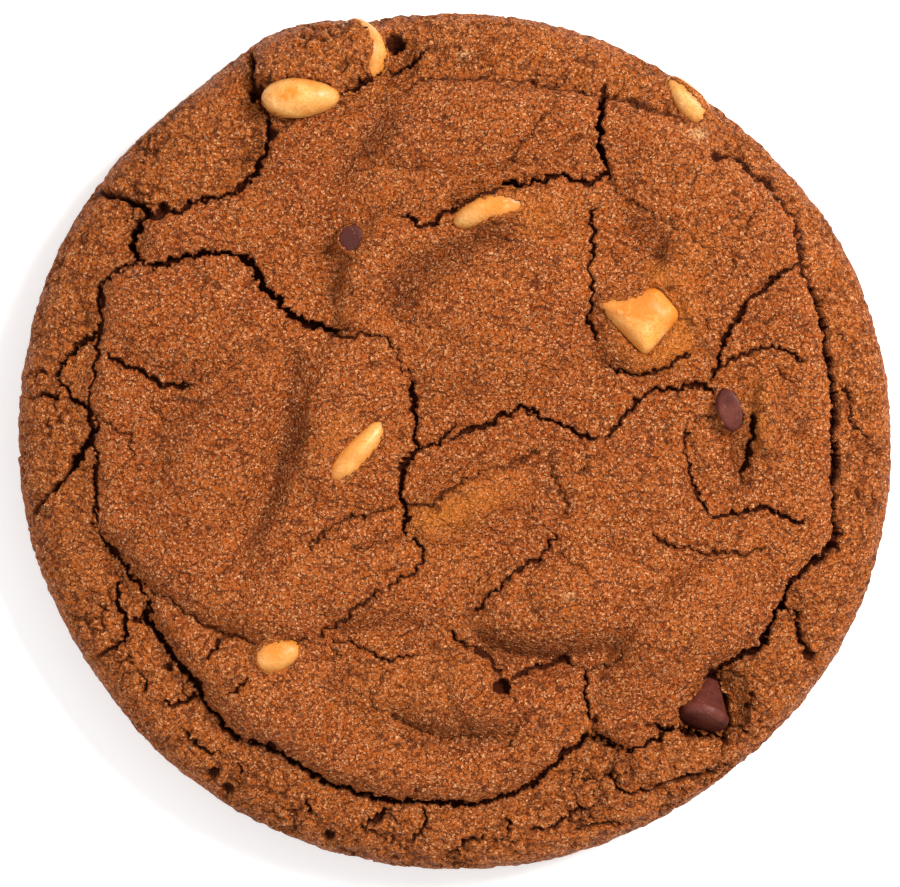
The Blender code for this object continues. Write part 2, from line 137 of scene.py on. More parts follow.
# %% Lumps
# Place, half length, half width, direction in degrees, height
LUMPS = {
    "central_dome": (5.5, 15, 14, 10, 20, 1.7),
    "north_crescent": (4, 38, 16, 5, 8, 1.3),
    "ridge_over_the_curved_nut": (5, 27.5, 14, 5, 14, 1.6),
    "lump_by_the_small_chip": (-8.5, 22.5, 7, 5, 30, 1.0),
    "west_plate": (-33, 15, 11, 7, -20, 1.0),
    "long_west_ridge": (-27.5, 2, 17, 7.5, 62, 1.9),
    "ridge_over_the_long_nut": (-12.5, 4, 13, 6.5, 75, 1.5),
    "belly": (-14, -17, 15, 7, 25, 1.3),
    "glowing_lump": (1.5, -7.5, 8, 5, 25, 1.5),
    "middle_east_lump": (18, -6, 11, 8, 0, 1.0),
    "south_lump": (13, -19.5, 12, 7, 5, 1.5),
    "south_lobe": (-1, -31, 15, 6.5, -8, 1.6),
    "south_west_plate": (-21, -31, 10, 6, -35, 0.8),
    "east_ridge": (37, 1.5, 7, 3, 80, 1.3),
    "lump_round_the_kite": (23.5, 15, 7.5, 7.5, 0, 1.8),
    "north_east_plate": (29, 29, 9, 8, -40, 1.0),
    "south_east_plate": (28, -22, 9, 7, 20, 0.8),
    "nut_dome": (-17, 47.2, 9.5, 6.5, 10, 3.3),
    "west_valley": (-21.5, 0, 12, 3, 78, -0.9),
    "east_pocket": (32.5, -2, 7, 4.5, 95, -1.2),
    "hollow_by_the_top_nut": (-24.5, 42.5, 3, 2.5, 0, -1.3),
    "hollow_east_of_the_dome": (-7.5, 46.5, 3.5, 3, 30, -1.5),
    "hollow_round_the_cone_chip": (32, -33.5, 6, 4.5, 70, -2.6),
}


def in_oval(x, y, east, north, half_length, half_width, direction):
    """How far places lie from the middle of a turned oval, squared: 1 on the oval itself."""
    turn = math.radians(direction)
    along = (x - east) * math.cos(turn) + (y - north) * math.sin(turn)
    across = (y - north) * math.cos(turn) - (x - east) * math.sin(turn)
    return (along / half_length) ** 2 + (across / half_width) ** 2


def add_lumps(top, x, y, lumps):
    """Add oval cushions to a height."""
    for east, north, half_length, half_width, direction, height in lumps.values():
        spread = np.clip(1 - in_oval(x, y, east, north, half_length, half_width, direction), 0, 1)
        top = top + height * spread * (2 - spread)
    return top


def broad_height(x, y):
    """Height of the dough's top without its cracks: side, rolled rim, plate and lumps."""
    angle = np.arctan2(y, x)
    reach = np.hypot(x, y)
    inset = np.maximum(outline_radius(angle) - reach, 0)
    plate = 1 / (1 + np.exp(-PLATE_EDGE * (plate_radius(angle) - reach)))
    top = RIM_HEIGHT + (PLATE_HEIGHT - RIM_HEIGHT) * plate
    top = add_lumps(top, x, y, LUMPS)
    roll = (1 - (1 - np.clip(inset / SHOULDER, 0, 1)) ** RIM_FULLNESS) ** (1 / RIM_FULLNESS)
    return WAIST_HEIGHT + (top - WAIST_HEIGHT) * roll


def level_at(east, north):
    """Height of the broad top at one place."""
    return float(broad_height(np.array([east]), np.array([north]))[0])


print("height of the broad top in the middle:", round(level_at(0, 0), 2), "mm")

# %% [markdown]
# ## Noise that repeats
# Baked dough is irregular at every size: crumbs, pits, wandering cracks. Blender's noise functions give
# the same value at the same place on every run, as long as none of the random ones is used. Two kinds do
# all the work here: smooth waves, and cells, which are like crumbs pressed together.

# %% Waves and cells


def waves(points, length, layer=0.0):
    """Smooth noise from about -0.7 to 0.7 that changes over a length; each layer is another noise."""
    return np.array([noise.noise(place) for place in (points / length + layer).tolist()])


def cells(points, size, layer=0.0):
    """The four nearest crumb cells of each point: distances in cell sizes, and the cells' middles."""
    reach = np.empty((len(points), 4))
    middles = np.empty((len(points), 4, 3))
    for i, place in enumerate((points / size + layer).tolist()):
        reach[i], middles[i] = noise.voronoi(place)
    return reach, (middles - layer) * size


def ease(value, low, high):
    """0 below low, 1 above high, and smooth between them."""
    share = np.clip((value - low) / (high - low), 0, 1)
    return share * share * (3 - 2 * share)


# %% [markdown]
# ## Nuts and chips
# The peanuts are smooth ovals, a little narrower at one end. The butter chip is a rounded kite, and the
# chocolate chips are flat buttons, one of them a drop on its side. Each could be a scaled sphere, but a
# stack of rings over its own outline gives the real plan shape, a flat top where there is one, and a bevel.
# They are made before the dough, because the dough then closes around them.

# %% Outlines seen from above
RING_POINTS = 56


def egg_outline(half_length, half_width, taper):
    """Outline of a nut, as a distance for each angle, a little narrower at one end."""
    def radius(angle):
        width = half_width * (1 - taper * np.cos(angle))
        return half_length * width / np.hypot(width * np.cos(angle), half_length * np.sin(angle))
    return radius


KITE_SIDES = ((103, 3.3), (40, 3.9), (-41, 3.6), (224, 3.3))
KITE_SHARPNESS = 8


def kite_outline(angle):
    """Outline of the butter chip: four sides that meet in rounded corners."""
    total = 0.0
    for direction, distance in KITE_SIDES:
        facing = np.maximum(0.0, np.cos(angle - math.radians(direction)))
        total = total + (facing / distance) ** KITE_SHARPNESS
    return total ** (-1 / KITE_SHARPNESS)


# %% Stacks of rings
ROUND_PROFILE_COUNT = 26
BUTTON_PROFILE_COUNT = 40
DROP_PROFILE_COUNT = 80
PROFILE_ROUNDINGS = 2


def round_profile(roundness):
    """Half section of a pebble from top to bottom, as shares of its reach and half height."""
    turn = np.linspace(0, math.pi, ROUND_PROFILE_COUNT)[1:-1]
    return list(zip(np.sin(turn) ** roundness, np.cos(turn)))


def marks_along(corners):
    """How far along a line each of its corners lies."""
    return np.concatenate(([0], np.cumsum(np.hypot(*np.diff(corners, axis=0).T))))


def even_line(corners, count):
    """Places in even steps along a line with these corners."""
    marks = marks_along(corners)
    stops = np.linspace(0, marks[-1], count)
    return np.column_stack([np.interp(stops, marks, corners[:, k]) for k in (0, 1)])


def soften(line):
    """Round the corners of a line: each place but the ends moves halfway between its neighbours."""
    line[1:-1] = 0.25 * line[:-2] + 0.5 * line[1:-1] + 0.25 * line[2:]


def smooth_profile(corners, count):
    """A finer half section through a few corners, rounded where it passes them."""
    line = even_line(np.array(corners, dtype=float), count)
    for _ in range(PROFILE_ROUNDINGS):
        soften(line)
    return [tuple(place) for place in line[1:-1]]


def ring_stack(outline, profile, top, bottom):
    """Points and faces of a closed piece: rings over an outline, between a top and a bottom point."""
    angles = np.linspace(0, 2 * math.pi, RING_POINTS, endpoint=False)
    reach = outline(angles)
    points = [(0.0, 0.0, top)]
    for share, level in profile:
        points += list(zip(share * reach * np.cos(angles), share * reach * np.sin(angles),
                           np.full(RING_POINTS, level)))
    points.append((0.0, 0.0, bottom))
    last = len(points) - 1
    faces = []
    for k in range(RING_POINTS):
        after = (k + 1) % RING_POINTS
        faces.append((0, 1 + k, 1 + after))
        faces.append((last, last - RING_POINTS + after, last - RING_POINTS + k))
        for ring in range(len(profile) - 1):
            upper = 1 + ring * RING_POINTS
            lower = upper + RING_POINTS
            faces.append((upper + k, lower + k, lower + after, upper + after))
    return np.array(points), faces


# %% [markdown]
# ## Putting a piece in its place
# A piece is shaped around its own middle, then turned, tilted and set at its depth under the broad top,
# in the same order as in the CAD model. The places are written into the mesh, so every object's origin
# stays in the middle of the cookie and all textures share one measure.

# %% Make an object from points in millimetres


def make_piece(name, points, faces, replaced):
    """Make a piece that rides on the cookie's body and stands for a CAD node."""
    mesh = bpy.data.meshes.new(name)
    mesh.from_pydata((np.asarray(points) * MM).tolist(), [], faces)
    mesh.validate()
    mesh.shade_smooth()
    piece = bpy.data.objects.new(name, mesh)
    bpy.context.scene.collection.objects.link(piece)
    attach(piece, BODY)
    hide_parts(replaced)
    return piece


def placed(points, place, depth, turn, tilt):
    """Turn, tilt and set points at a place, in millimetres and degrees."""
    stand = Vector((*place, level_at(*place) - depth))
    pose = Matrix.Translation(stand) @ Matrix.Rotation(math.radians(turn), 4, "Z")
    pose = np.array(pose @ Matrix.Rotation(math.radians(tilt), 4, "Y"))
    return points @ pose[:3, :3].T + pose[:3, 3]


# %% Peanuts
# Place, half length, half width, half height, direction and tilt, taper, depth of the middle under the
# dough's top, bend along its length, and how sharp its spine is
NUTS = {
    "nut_top_left": (-18.9, 42.0, 4.8, 2.5, 2.3, 2, 0, 0.10, 0.2, 0.0, 1.0),
    "nut_under_dome": (-11.3, 48.0, 4.1, 2.9, 2.3, 114, 0, 0.10, 2.6, 0.0, 1.0),
    "nut_at_rim": (28.8, 41.6, 4.0, 1.9, 2.0, 129, 0, 0.10, 0.7, 0.0, 1.25),
    "nut_curved": (4.3, 28.3, 5.0, 2.3, 2.3, 17, -7, -0.15, 1.3, -0.5, 1.0),
    "nut_long": (-11.8, -1.4, 5.1, 2.1, 2.2, 48, 3, 0.10, 1.2, 0.3, 1.05),
    "nut_low_left": (-21.9, -26.4, 3.3, 2.2, 2.1, 15, 0, 0.12, 0.8, 0.0, 1.0),
}
NUT_WAVE = 0.07
NUT_WAVE_LENGTH = 1.9
pieces = {}
for name, nut in NUTS.items():
    east, north, length, width, height, turn, tilt, taper, depth, bend, spine = nut
    outline = egg_outline(length, width, taper)
    points, faces = ring_stack(outline, round_profile(spine), 1.0, -1.0)
    points[:, 2] *= height
    points[:, 1] += bend * ((points[:, 0] / length) ** 2 - 0.3)
    points = placed(points, (east, north), depth, turn, tilt)
    middle = np.array((east, north, level_at(east, north) - depth))
    outward = (points - middle) / np.linalg.norm(points - middle, axis=1)[:, None]
    points = points + NUT_WAVE * waves(points, NUT_WAVE_LENGTH)[:, None] * outward
    pieces[name] = (points, make_piece(name + "_piece", points, faces, name))
    print(name, "top at", round(points[:, 2].max(), 1), "mm")

# %% The butter chip
KITE = (23.0, 15.1, 2.5, 1.0)
KITE_ROUNDNESS = 0.8
east, north, half_height, depth = KITE
points, faces = ring_stack(kite_outline, round_profile(KITE_ROUNDNESS), 1.0, -1.0)
points[:, 2] *= half_height
points = placed(points, (east, north), depth, 0, 0)
butter_piece = make_piece("butter_chip_piece", points, faces, "butter_chip")
pieces["butter_chip"] = (points, butter_piece)
print("butter chip top at", round(points[:, 2].max(), 1), "mm")

# %% Flat chocolate chips
# Place, half length, half width, half height, direction, depth of the middle under the dough's top
BUTTONS = {
    "chip_flat": (33.8, 3.7, 2.9, 1.75, 1.7, 105, 0.3),
    "chip_small": (-12.6, 24.6, 2.1, 1.9, 1.9, 60, 0.5),
}
# Share of the reach and of the half height: flat top, bevel, side
BUTTON_PROFILE = (
    (0, 0.97), (0.4, 0.98), (0.74, 0.96), (0.84, 0.9), (0.95, 0.6), (1, 0.1), (1, -0.3), (0.8, -0.8),
    (0, -1),
)
for name, (east, north, length, width, height, turn, depth) in BUTTONS.items():
    profile = smooth_profile(BUTTON_PROFILE, BUTTON_PROFILE_COUNT)
    middles = (BUTTON_PROFILE[0][1], BUTTON_PROFILE[-1][1])
    points, faces = ring_stack(egg_outline(length, width, 0.0), profile, *middles)
    points[:, 2] *= height
    points = placed(points, (east, north), depth, turn, 0)
    pieces[name] = (points, make_piece(name + "_piece", points, faces, name))
    print(name, "top at", round(points[:, 2].max(), 1), "mm")

# %% The chocolate drop on its side
DROP_PLACE = (30.3, -34.8)
# The middle of its base stands this far above the dough's broad top, so its depth is below zero
DROP_DEPTH = -1.0
DROP_TILT = 23
DROP_TURN = 76
# Half section from the base's middle to the tip: radius, height
DROP_PROFILE = (
    (0, 0), (1.5, 0), (2.8, 0.02), (3.15, 0.2), (3.3, 0.6), (3.35, 1.2), (3.1, 1.4), (2.75, 2.1),
    (2.35, 3.0), (1.75, 4.3), (1.2, 5.6), (0.7, 6.6), (0, 6.95),
)
profile = smooth_profile(DROP_PROFILE, DROP_PROFILE_COUNT)[::-1]
points, faces = ring_stack(lambda angle: np.ones_like(angle), profile, DROP_PROFILE[-1][1], 0.0)
points = placed(points, DROP_PLACE, DROP_DEPTH, DROP_TURN, 90 + DROP_TILT)
pieces["chip_cone"] = (points, make_piece("chip_cone_piece", points, faces, "chip_cone"))
print("chocolate drop top at", round(points[:, 2].max(), 1), "mm")

# %% [markdown]
# ## Cracks
# The skin of the dough splits where it is pulled apart. Every crack below was read from the top of the
# real cookie as a walk of places, with its depth and half width. The ring cracks part the plate from the
# rim. A crack could be painted, but real depth gives the black shadow in it, so each one is cut into
# the height of the dough, and painted shade in the material darkens it further.

# %% The ring cracks: depth, half width, places
RING_CRACKS = {
    "gap_north_west": (2.5, 0.95, ((-44, 31), (-42.5, 30), (-39.5, 29.5), (-38, 29), (-38, 27), (-39, 26),
        (-40, 24.5), (-39, 22.5), (-38, 22))),
    "wedge_top": (1.4, 0.42, ((-38, 29), (-37.5, 27), (-35, 28), (-33, 29), (-31, 29.5), (-28, 29.5),
        (-25.5, 32), (-24.5, 32.5), (-24, 34), (-23, 36), (-22.5, 38), (-23, 39.5))),
    "west_plate_top": (2.2, 0.6, ((-38, 22), (-35, 22), (-28.5, 23), (-27, 23), (-25.5, 22), (-23.5, 19),
        (-22, 18), (-20.5, 16), (-19, 14.5), (-18, 14), (-16, 14), (-14, 13.5))),
    "west": (0.9, 0.3, ((-38, 22), (-40, 21.5), (-42, 20.5), (-43.5, 20), (-43.5, 12), (-44, 10),
        (-44, 7.5), (-44.5, 5.5), (-45, 4.5), (-44.5, 2.5), (-44.5, 1), (-44, -1), (-44, -11))),
    "south_west_upper": (1.1, 0.26, ((-44, -11), (-43, -12), (-41, -15), (-40, -16), (-37.5, -19.5))),
    "south_west": (1.8, 0.38, ((-37.5, -19.5), (-38, -22), (-37, -23), (-36, -24.5), (-34.5, -26),
        (-34.5, -27), (-33.5, -28), (-32.5, -28.5), (-31.5, -30), (-31, -31.5), (-29.5, -33.5),
        (-28.5, -34.5), (-27.5, -36), (-26, -37))),
    "south": (1.8, 0.42, ((-26, -37), (-24.5, -37.5), (-22.5, -37.5), (-21, -38.5), (-20, -39.5),
        (-18, -40.5), (-16, -42), (-10, -44), (-7, -44.5), (-0.5, -44.5), (2.5, -45), (4.5, -44.5),
        (6, -43.5), (7.5, -43.5), (9.5, -42.5), (11.5, -40.5), (13, -39.5), (14, -38), (15.5, -37),
        (16.5, -36))),
    "belly_west": (0.6, 0.25, ((-36, -18.5), (-35.5, -19.5), (-33.5, -20.5), (-30, -23), (-28, -24),
        (-25.5, -24.5), (-19, -25), (-17, -24.5))),
    "belly_south": (0.7, 0.31, ((-17, -24.5), (-15.5, -23.5), (-13, -21), (-11.5, -20), (-8.5, -18.5))),
    "chip_bay": (1.2, 0.36, ((16.5, -36), (19.5, -37), (21, -38), (22.5, -38), (23.5, -37.5),
        (24.5, -36.5), (26, -36), (27.5, -35))),
    "south_east": (2.5, 0.9, ((32, -28.5), (32, -28), (33.5, -27.5), (34, -27), (37, -26), (38, -25),
        (38.5, -23.5), (39.5, -22), (41, -18.5), (42, -16.5), (46, -14), (47, -12.5))),
    "east": (2.4, 0.95, ((47, -12.5), (47, -10.5), (46.5, -8), (46.5, -5.5), (47, -3), (47, 5.5),
        (46, 10.5), (44.5, 17.5), (43.5, 19))),
    "north_east": (0.9, 0.42, ((43.5, 19), (42.5, 23.5), (42.5, 25.5), (42, 27), (41, 28), (39, 31),
        (38.5, 32), (37, 32), (34.5, 35.5), (33, 34.5), (31.5, 35.5))),
    "north": (0.6, 0.25, ((-7, 42.5), (-5.5, 43.5), (-3.5, 44), (-0.5, 44.5), (4, 44.5), (15, 43),
        (17, 42.5), (18, 41.5))),
    "north_fold": (0.6, 0.42, ((18, 42.5), (21, 42), (24, 41), (26, 40.5), (28, 39.5), (29, 38.5))),
}
print("ring cracks:", len(RING_CRACKS))

# %% Cracks in the plate: depth, half width, places
PLATE_CRACKS = {
    "notch": (2.8, 1.05, ((18.5, 42.5), (18, 41), (18, 37), (18.5, 34.5), (18.5, 33.5))),
    "north_plate_foot": (1.5, 0.4, ((18.5, 33.5), (18, 32), (15.5, 31.5), (14, 32.5), (12.5, 33),
        (10.5, 32), (8.5, 31.5))),
    "curved_nut_fold": (2.2, 0.95, ((8.5, 31.5), (5, 30.5), (1, 29))),
    "curved_nut_tail": (1.2, 0.42, ((1.5, 29.2), (0, 28.5), (-3.5, 26), (-5, 26.5), (-6.5, 28))),
    "east_ridge_top": (0.5, 0.17, ((18.5, 33), (19.5, 31), (21, 29.5), (24, 27.5), (28, 25.5), (31, 23.5),
        (32.5, 23))),
    "dome_east": (1, 0.28, ((17.5, 29), (16.5, 28), (17, 26.5), (16.5, 25), (17, 24.5), (16, 21.5),
        (17, 21), (16.5, 19), (17, 17.5), (16, 14), (18, 12))),
    "east_branch": (1.2, 0.31, ((43, 21.5), (41, 21), (39, 19.5), (38, 18.5), (36.5, 17.5), (36, 16.5),
        (34, 14), (33, 12.5), (32.5, 10), (31.5, 8.5), (31, 7))),
    "east_plate_top": (0.8, 0.28, ((32, 8.5), (33, 9.5), (34.5, 9.5), (36, 10.5), (39, 11.5), (41, 11),
        (43.5, 9.5))),
    "kite_east_twig": (0.55, 0.2, ((30, 15.5), (31, 14), (32, 13), (32.5, 12))),
    "kite_foot": (0.9, 0.31, ((18.5, 9), (21.5, 8), (23.5, 8), (25.5, 8.5), (26.5, 9), (28, 10.5),
        (29, 11))),
    "centre_run_start": (1.1, 0.28, ((-5, -1), (-3.5, -1), (-2, -0.5), (-1, 0.5), (-0.5, 1.5), (0.5, 2))),
    "centre_run_west": (1.2, 0.31, ((-1, 0), (1, 1), (4.5, 2), (6.5, 4), (7, 3.5), (8.5, 4.5), (9.5, 3),
        (11.5, 3), (12.5, 2), (15, 1), (16.5, 0), (18, 0))),
    "centre_run_east": (1.1, 0.28, ((18, 0), (19.5, 1), (20.5, 2), (21.5, 4.5), (23, 5), (24, 6),
        (26, 6), (28, 6.5), (29, 7.5), (31, 6.5), (31.5, 5))),
    "long_nut_ridge_top": (0.7, 0.25, ((-16, 12), (-11.5, 13), (-9, 13), (-8, 12), (-7, 9.5), (-6, 8.5),
        (-5.5, 7.5))),
    "long_nut_ridge_east": (1.3, 0.31, ((-5.5, 7.5), (-4.5, 3.5), (-5, 2.5), (-5, 1), (-4.5, -0.5),
        (-5, -2), (-6, -2.5), (-6.5, -4.5), (-6.5, -6), (-7, -7.5), (-6, -8.5), (-6, -11), (-6.5, -12))),
    "belly_north": (0.7, 0.25, ((-7, -8.5), (-8.5, -8.5), (-10.5, -9), (-12.5, -9), (-14.5, -10),
        (-15, -11), (-16, -11.5), (-17.5, -13), (-18, -14))),
    "belly_twig": (0.55, 0.2, ((-6, -11), (-6.5, -12), (-8, -12.5), (-13.5, -13.5))),
    "belly_east": (0.8, 0.25, ((-6, -12), (-4.5, -12.5), (-3.5, -13.5), (-4, -15.5), (-5, -16.5),
        (-7, -17.5), (-8.5, -19))),
    "glowing_lump_top": (0.6, 0.31, ((-6.5, -8), (-3.5, -8), (0, -5.5), (2, -4.5), (3, -3.5), (4.5, -3),
        (5.5, -3.5), (7.5, -2.5), (9.5, -2), (11, -1))),
    "middle_line": (0.55, 0.2, ((12, -2), (12, -3.5), (12.5, -5.5), (13.5, -7), (13.5, -8), (14, -10))),
    "middle_twig": (0.55, 0.2, ((15, -4.5), (17.5, -2))),
    "south_lump_top": (0.9, 0.25, ((12, -11), (12, -13.5), (11, -14), (10, -15), (8.5, -15.5),
        (5.5, -17.5), (4, -19), (3, -20.5), (2, -21.5))),
    "south_lump_twig": (0.55, 0.2, ((12, -13.5), (13, -14.5), (14.5, -15), (15.5, -16), (17, -16.5))),
    "south_east_line": (0.7, 0.22, ((24, -11), (25, -13), (27.5, -13), (29, -13.5), (31.5, -14),
        (33.5, -13.5), (35.5, -14), (37, -13.5), (39, -13.5))),
    "east_pocket_west": (0.9, 0.31, ((29, 2.5), (28.5, 1), (28.5, 0), (29.5, -5.5), (31, -9.5))),
    "east_pocket_foot": (1, 0.31, ((31, -9.5), (32, -10), (33, -9), (34.5, -9), (36.5, -8),
        (39.5, -8.5), (40.5, -9.5), (42, -10), (43.5, -9.5))),
    "east_pocket_east": (1.4, 0.5, ((36.8, 3.5), (36.5, 0), (35.2, -4.5))),
    "east_pocket_top": (0.6, 0.25, ((29, 2.5), (31, 3), (32.5, 2.5))),
    "west_plate_foot_gap": (1, 0.31, ((-43, 11), (-41.5, 9.5), (-39.5, 8.5), (-37, 7.5), (-35.5, 6.5),
        (-33.5, 6.5), (-32, 7))),
    "west_plate_foot": (0.35, 0.18, ((-32, 7), (-31, 8), (-29.5, 8.5), (-26, 11), (-24, 12), (-22, 13.5),
        (-19, 14.5))),
    "west_ridge_line": (0.55, 0.2, ((-44, 2), (-42.5, 2), (-39.5, 0.5), (-39.5, -2), (-41, -4.5))),
    "west_ridge_twig": (0.55, 0.2, ((-37, 5), (-37, 3.5), (-36.5, 2), (-35, 2))),
    "dome_fold": (0.35, 0.2, ((8, 24), (5.5, 24.5), (3, 24.5), (-0.5, 24), (-2, 23.5), (-4.5, 21),
        (-6, 20), (-7.5, 18.5), (-9, 16.5))),
    "north_line": (0.6, 0.22, ((11.5, 40.5), (10, 38), (8, 36.5), (7, 34.5), (6.5, 33))),
    "north_twig": (0.55, 0.2, ((13.5, 36), (16, 37.5))),
    "small_chip_line": (0.55, 0.2, ((-10.5, 28), (-8.5, 28), (-7, 29))),
    "nut_dome_west": (1.6, 0.47, ((-25, 48.5), (-25, 43.5), (-23.5, 42.5))),
    "nut_dome_south": (1.2, 0.31, ((-14, 42.5), (-12.5, 43.5), (-10.5, 44.5), (-8.5, 46))),
    "nut_dome_east": (1.2, 0.36, ((-8.5, 45.5), (-7, 45.5), (-5.5, 46.5), (-3.5, 47.5), (-2.5, 48.5))),
    "north_east_line": (0.55, 0.2, ((25, 32.5), (26, 32.5))),
    "north_east_twig_a": (0.55, 0.2, ((33, 28.5), (34.5, 29.5))),
    "north_east_twig_b": (0.55, 0.2, ((34.5, 25), (35.5, 26), (36.5, 27.5), (37.5, 28.5))),
    "north_east_twig_c": (0.55, 0.2, ((33, 24), (34.5, 24), (35.5, 25))),
    "north_east_twig_d": (0.55, 0.2, ((33.5, 21), (34.5, 23))),
    "east_plate_twig": (0.55, 0.2, ((37.5, 14), (39, 15), (40, 16))),
    "east_plate_split": (0.55, 0.2, ((39, 10), (39.5, 8.5), (41.5, 7), (42.5, 6.5))),
    "lobe_twig": (0.55, 0.2, ((-15.5, -20.5), (-15.5, -22))),
    "lobe_line": (0.8, 0.25, ((-15.5, -24.5), (-13, -25.5), (-10.5, -26), (-9.5, -27), (-7.5, -27),
        (-6.5, -26.5), (-4.5, -26.5))),
    "lobe_line_west": (0.7, 0.22, ((-16, -25), (-15, -26), (-13.5, -27))),
    "lobe_foot_west": (0.55, 0.2, ((-7.5, -28), (-9, -29), (-10, -30.5), (-11, -31.5), (-10, -32.5),
        (-8.5, -33.5))),
    "lobe_foot": (0.45, 0.18, ((-8.5, -33.5), (-5.5, -35), (-4, -35.5), (-2.5, -36.5), (5.5, -36.5),
        (7, -36), (9, -35), (9.5, -34), (7, -32.5), (6.5, -31.5), (5.5, -30.5))),
    "south_step": (0.9, 0.31, ((6.5, -29.5), (8, -28.5), (11.5, -27.5), (13, -26.5), (15.5, -27.5))),
    "south_step_east": (1, 0.28, ((15.5, -27.5), (16, -29), (16, -33), (16.5, -34.5), (17, -35))),
    "south_step_twig": (0.6, 0.22, ((15.5, -27.5), (16.5, -28), (17.5, -28), (19.5, -27.5), (21, -25.5))),
    "south_step_west": (0.9, 0.31, ((6, -29), (5, -28), (4, -26), (2, -25.5), (1.5, -24.5), (0, -24),
        (-1, -23))),
    "south_lump_foot": (0.3, 0.15, ((1.5, -24.5), (5.5, -26), (9.5, -26.5), (13, -26.5))),
    "south_east_twig": (0.55, 0.2, ((27, -26), (27.5, -27.5), (28.5, -27.5))),
}
print("cracks in the plate:", len(PLATE_CRACKS))

# %% Splits of the rim: depth, half width, places
RIM_CRACKS = {
    "wedge_north": (1.3, 0.36, ((-43.5, 13.5), (-45, 12), (-46, 12), (-47.5, 11), (-49.5, 7.5))),
    "wedge_west": (1, 0.31, ((-50, 8.5), (-51.5, 9), (-52.5, 8))),
    "wedge_south": (1.3, 0.36, ((-49, 7.5), (-46.5, 5), (-45, 4.5), (-44, 2))),
    "wedge_twig": (0.8, 0.25, ((-48, 6.5), (-50.5, 5), (-53, 5.5))),
    "west_gash": (2.4, 0.53, ((-44, 2), (-44.5, 0), (-45.5, -1), (-46, -2), (-47, -3), (-49, -6),
        (-50, -7), (-51.5, -8), (-52, -9))),
    "south_west_fork": (1.2, 0.36, ((-41, -17.5), (-41.5, -19.5), (-41, -22), (-40.5, -23.5),
        (-41.5, -25.5), (-43, -26), (-44.5, -27))),
    "south_west_fork_link": (0.9, 0.25, ((-37.5, -22), (-39.5, -22), (-40.5, -22.5))),
    "sw_split_a": (0.9, 0.28, ((-34.5, -27), (-35.5, -28), (-36.5, -28))),
    "sw_split_b": (0.9, 0.28, ((-31.5, -30.5), (-32.5, -32), (-34.5, -33), (-36.5, -32.5))),
    "sw_split_c": (0.9, 0.28, ((-33.5, -35), (-32.5, -38), (-31, -38.5), (-29, -38.5))),
    "sw_split_d": (0.9, 0.28, ((-28, -24), (-28.5, -25), (-31, -27.5))),
    "sw_split_e": (0.9, 0.28, ((-25.5, -29), (-26, -30), (-27, -30.5), (-28, -31.5))),
    "sw_split_f": (0.9, 0.28, ((-38.5, -29), (-37.5, -30), (-39, -31.5))),
    "sw_split_g": (0.9, 0.28, ((-26.5, -39.5), (-26.5, -42))),
    "south_split_a": (1, 0.31, ((-8, -45), (-8.5, -46), (-11.5, -48))),
    "south_split_b": (0.9, 0.28, ((-4, -45), (-3.5, -47), (-5, -49.5), (-5, -50.5))),
    "south_split_c": (0.9, 0.28, ((4, -48.5), (2.5, -49.5), (0.5, -50.5), (-1.5, -52))),
    "south_split_d": (0.9, 0.28, ((7, -46.5), (6.5, -48.5))),
    "south_split_e": (0.9, 0.28, ((11.5, -44.5), (11, -46))),
    "south_split_f": (0.9, 0.28, ((9, -48.5), (11, -48.5), (13, -47.5), (14.5, -46), (16.5, -45.5))),
    "south_split_g": (0.9, 0.28, ((15, -48.5), (18, -47.5), (21, -47))),
    "south_split_h": (0.9, 0.28, ((15, -41.5), (16.5, -42), (18, -42))),
    "south_split_i": (0.9, 0.28, ((-18.5, -43.5), (-18.5, -45), (-17.5, -46.5))),
    "south_split_j": (0.9, 0.28, ((-4.5, -42.5), (-5, -43.5))),
    "south_split_k": (0.9, 0.28, ((6.5, -36.5), (6.5, -38))),
    "south_split_l": (0.9, 0.28, ((7, -39), (7, -40))),
    "south_split_m": (0.9, 0.28, ((-3.5, -37), (-4.5, -37.5))),
    "east_fork": (1.1, 0.31, ((42, -20.5), (42.5, -22), (42.5, -24), (43, -25.5), (44, -26.5), (44.5, -28))),
    "chip_east": (2.6, 0.85, ((32, -29.5), (32.5, -31), (33.5, -32), (34, -34), (34, -35.5), (33.5, -38))),
    "chip_foot_gap": (2.2, 0.6, ((27.4, -35.6), (29, -36.6), (31, -37), (33.2, -36.6))),
    "chip_west_gap": (2.2, 0.7, ((24.6, -35.1), (25.8, -35.8), (27.2, -35.3))),
    "chip_south": (0.9, 0.25, ((34, -35.5), (35.5, -35.5), (36.5, -36), (36.5, -37))),
    "se_split_a": (0.9, 0.28, ((27, -40), (27.5, -41))),
    "se_long": (1.1, 0.31, ((19.5, -40.5), (20, -42.5), (19.5, -43.5), (21.5, -43.5), (22.5, -43),
        (24, -43.5), (26.5, -42.5), (28.5, -42), (29.5, -41.5), (31.5, -41.5), (32.5, -41), (33.5, -40))),
    "east_split_a": (0.9, 0.28, ((47, 13.5), (48.5, 12))),
    "east_split_b": (0.9, 0.25, ((47.5, 7.5), (48.5, 5), (49, 2.5), (51, 0), (51.5, -1.5))),
}
print("splits of the rim:", len(RIM_CRACKS))

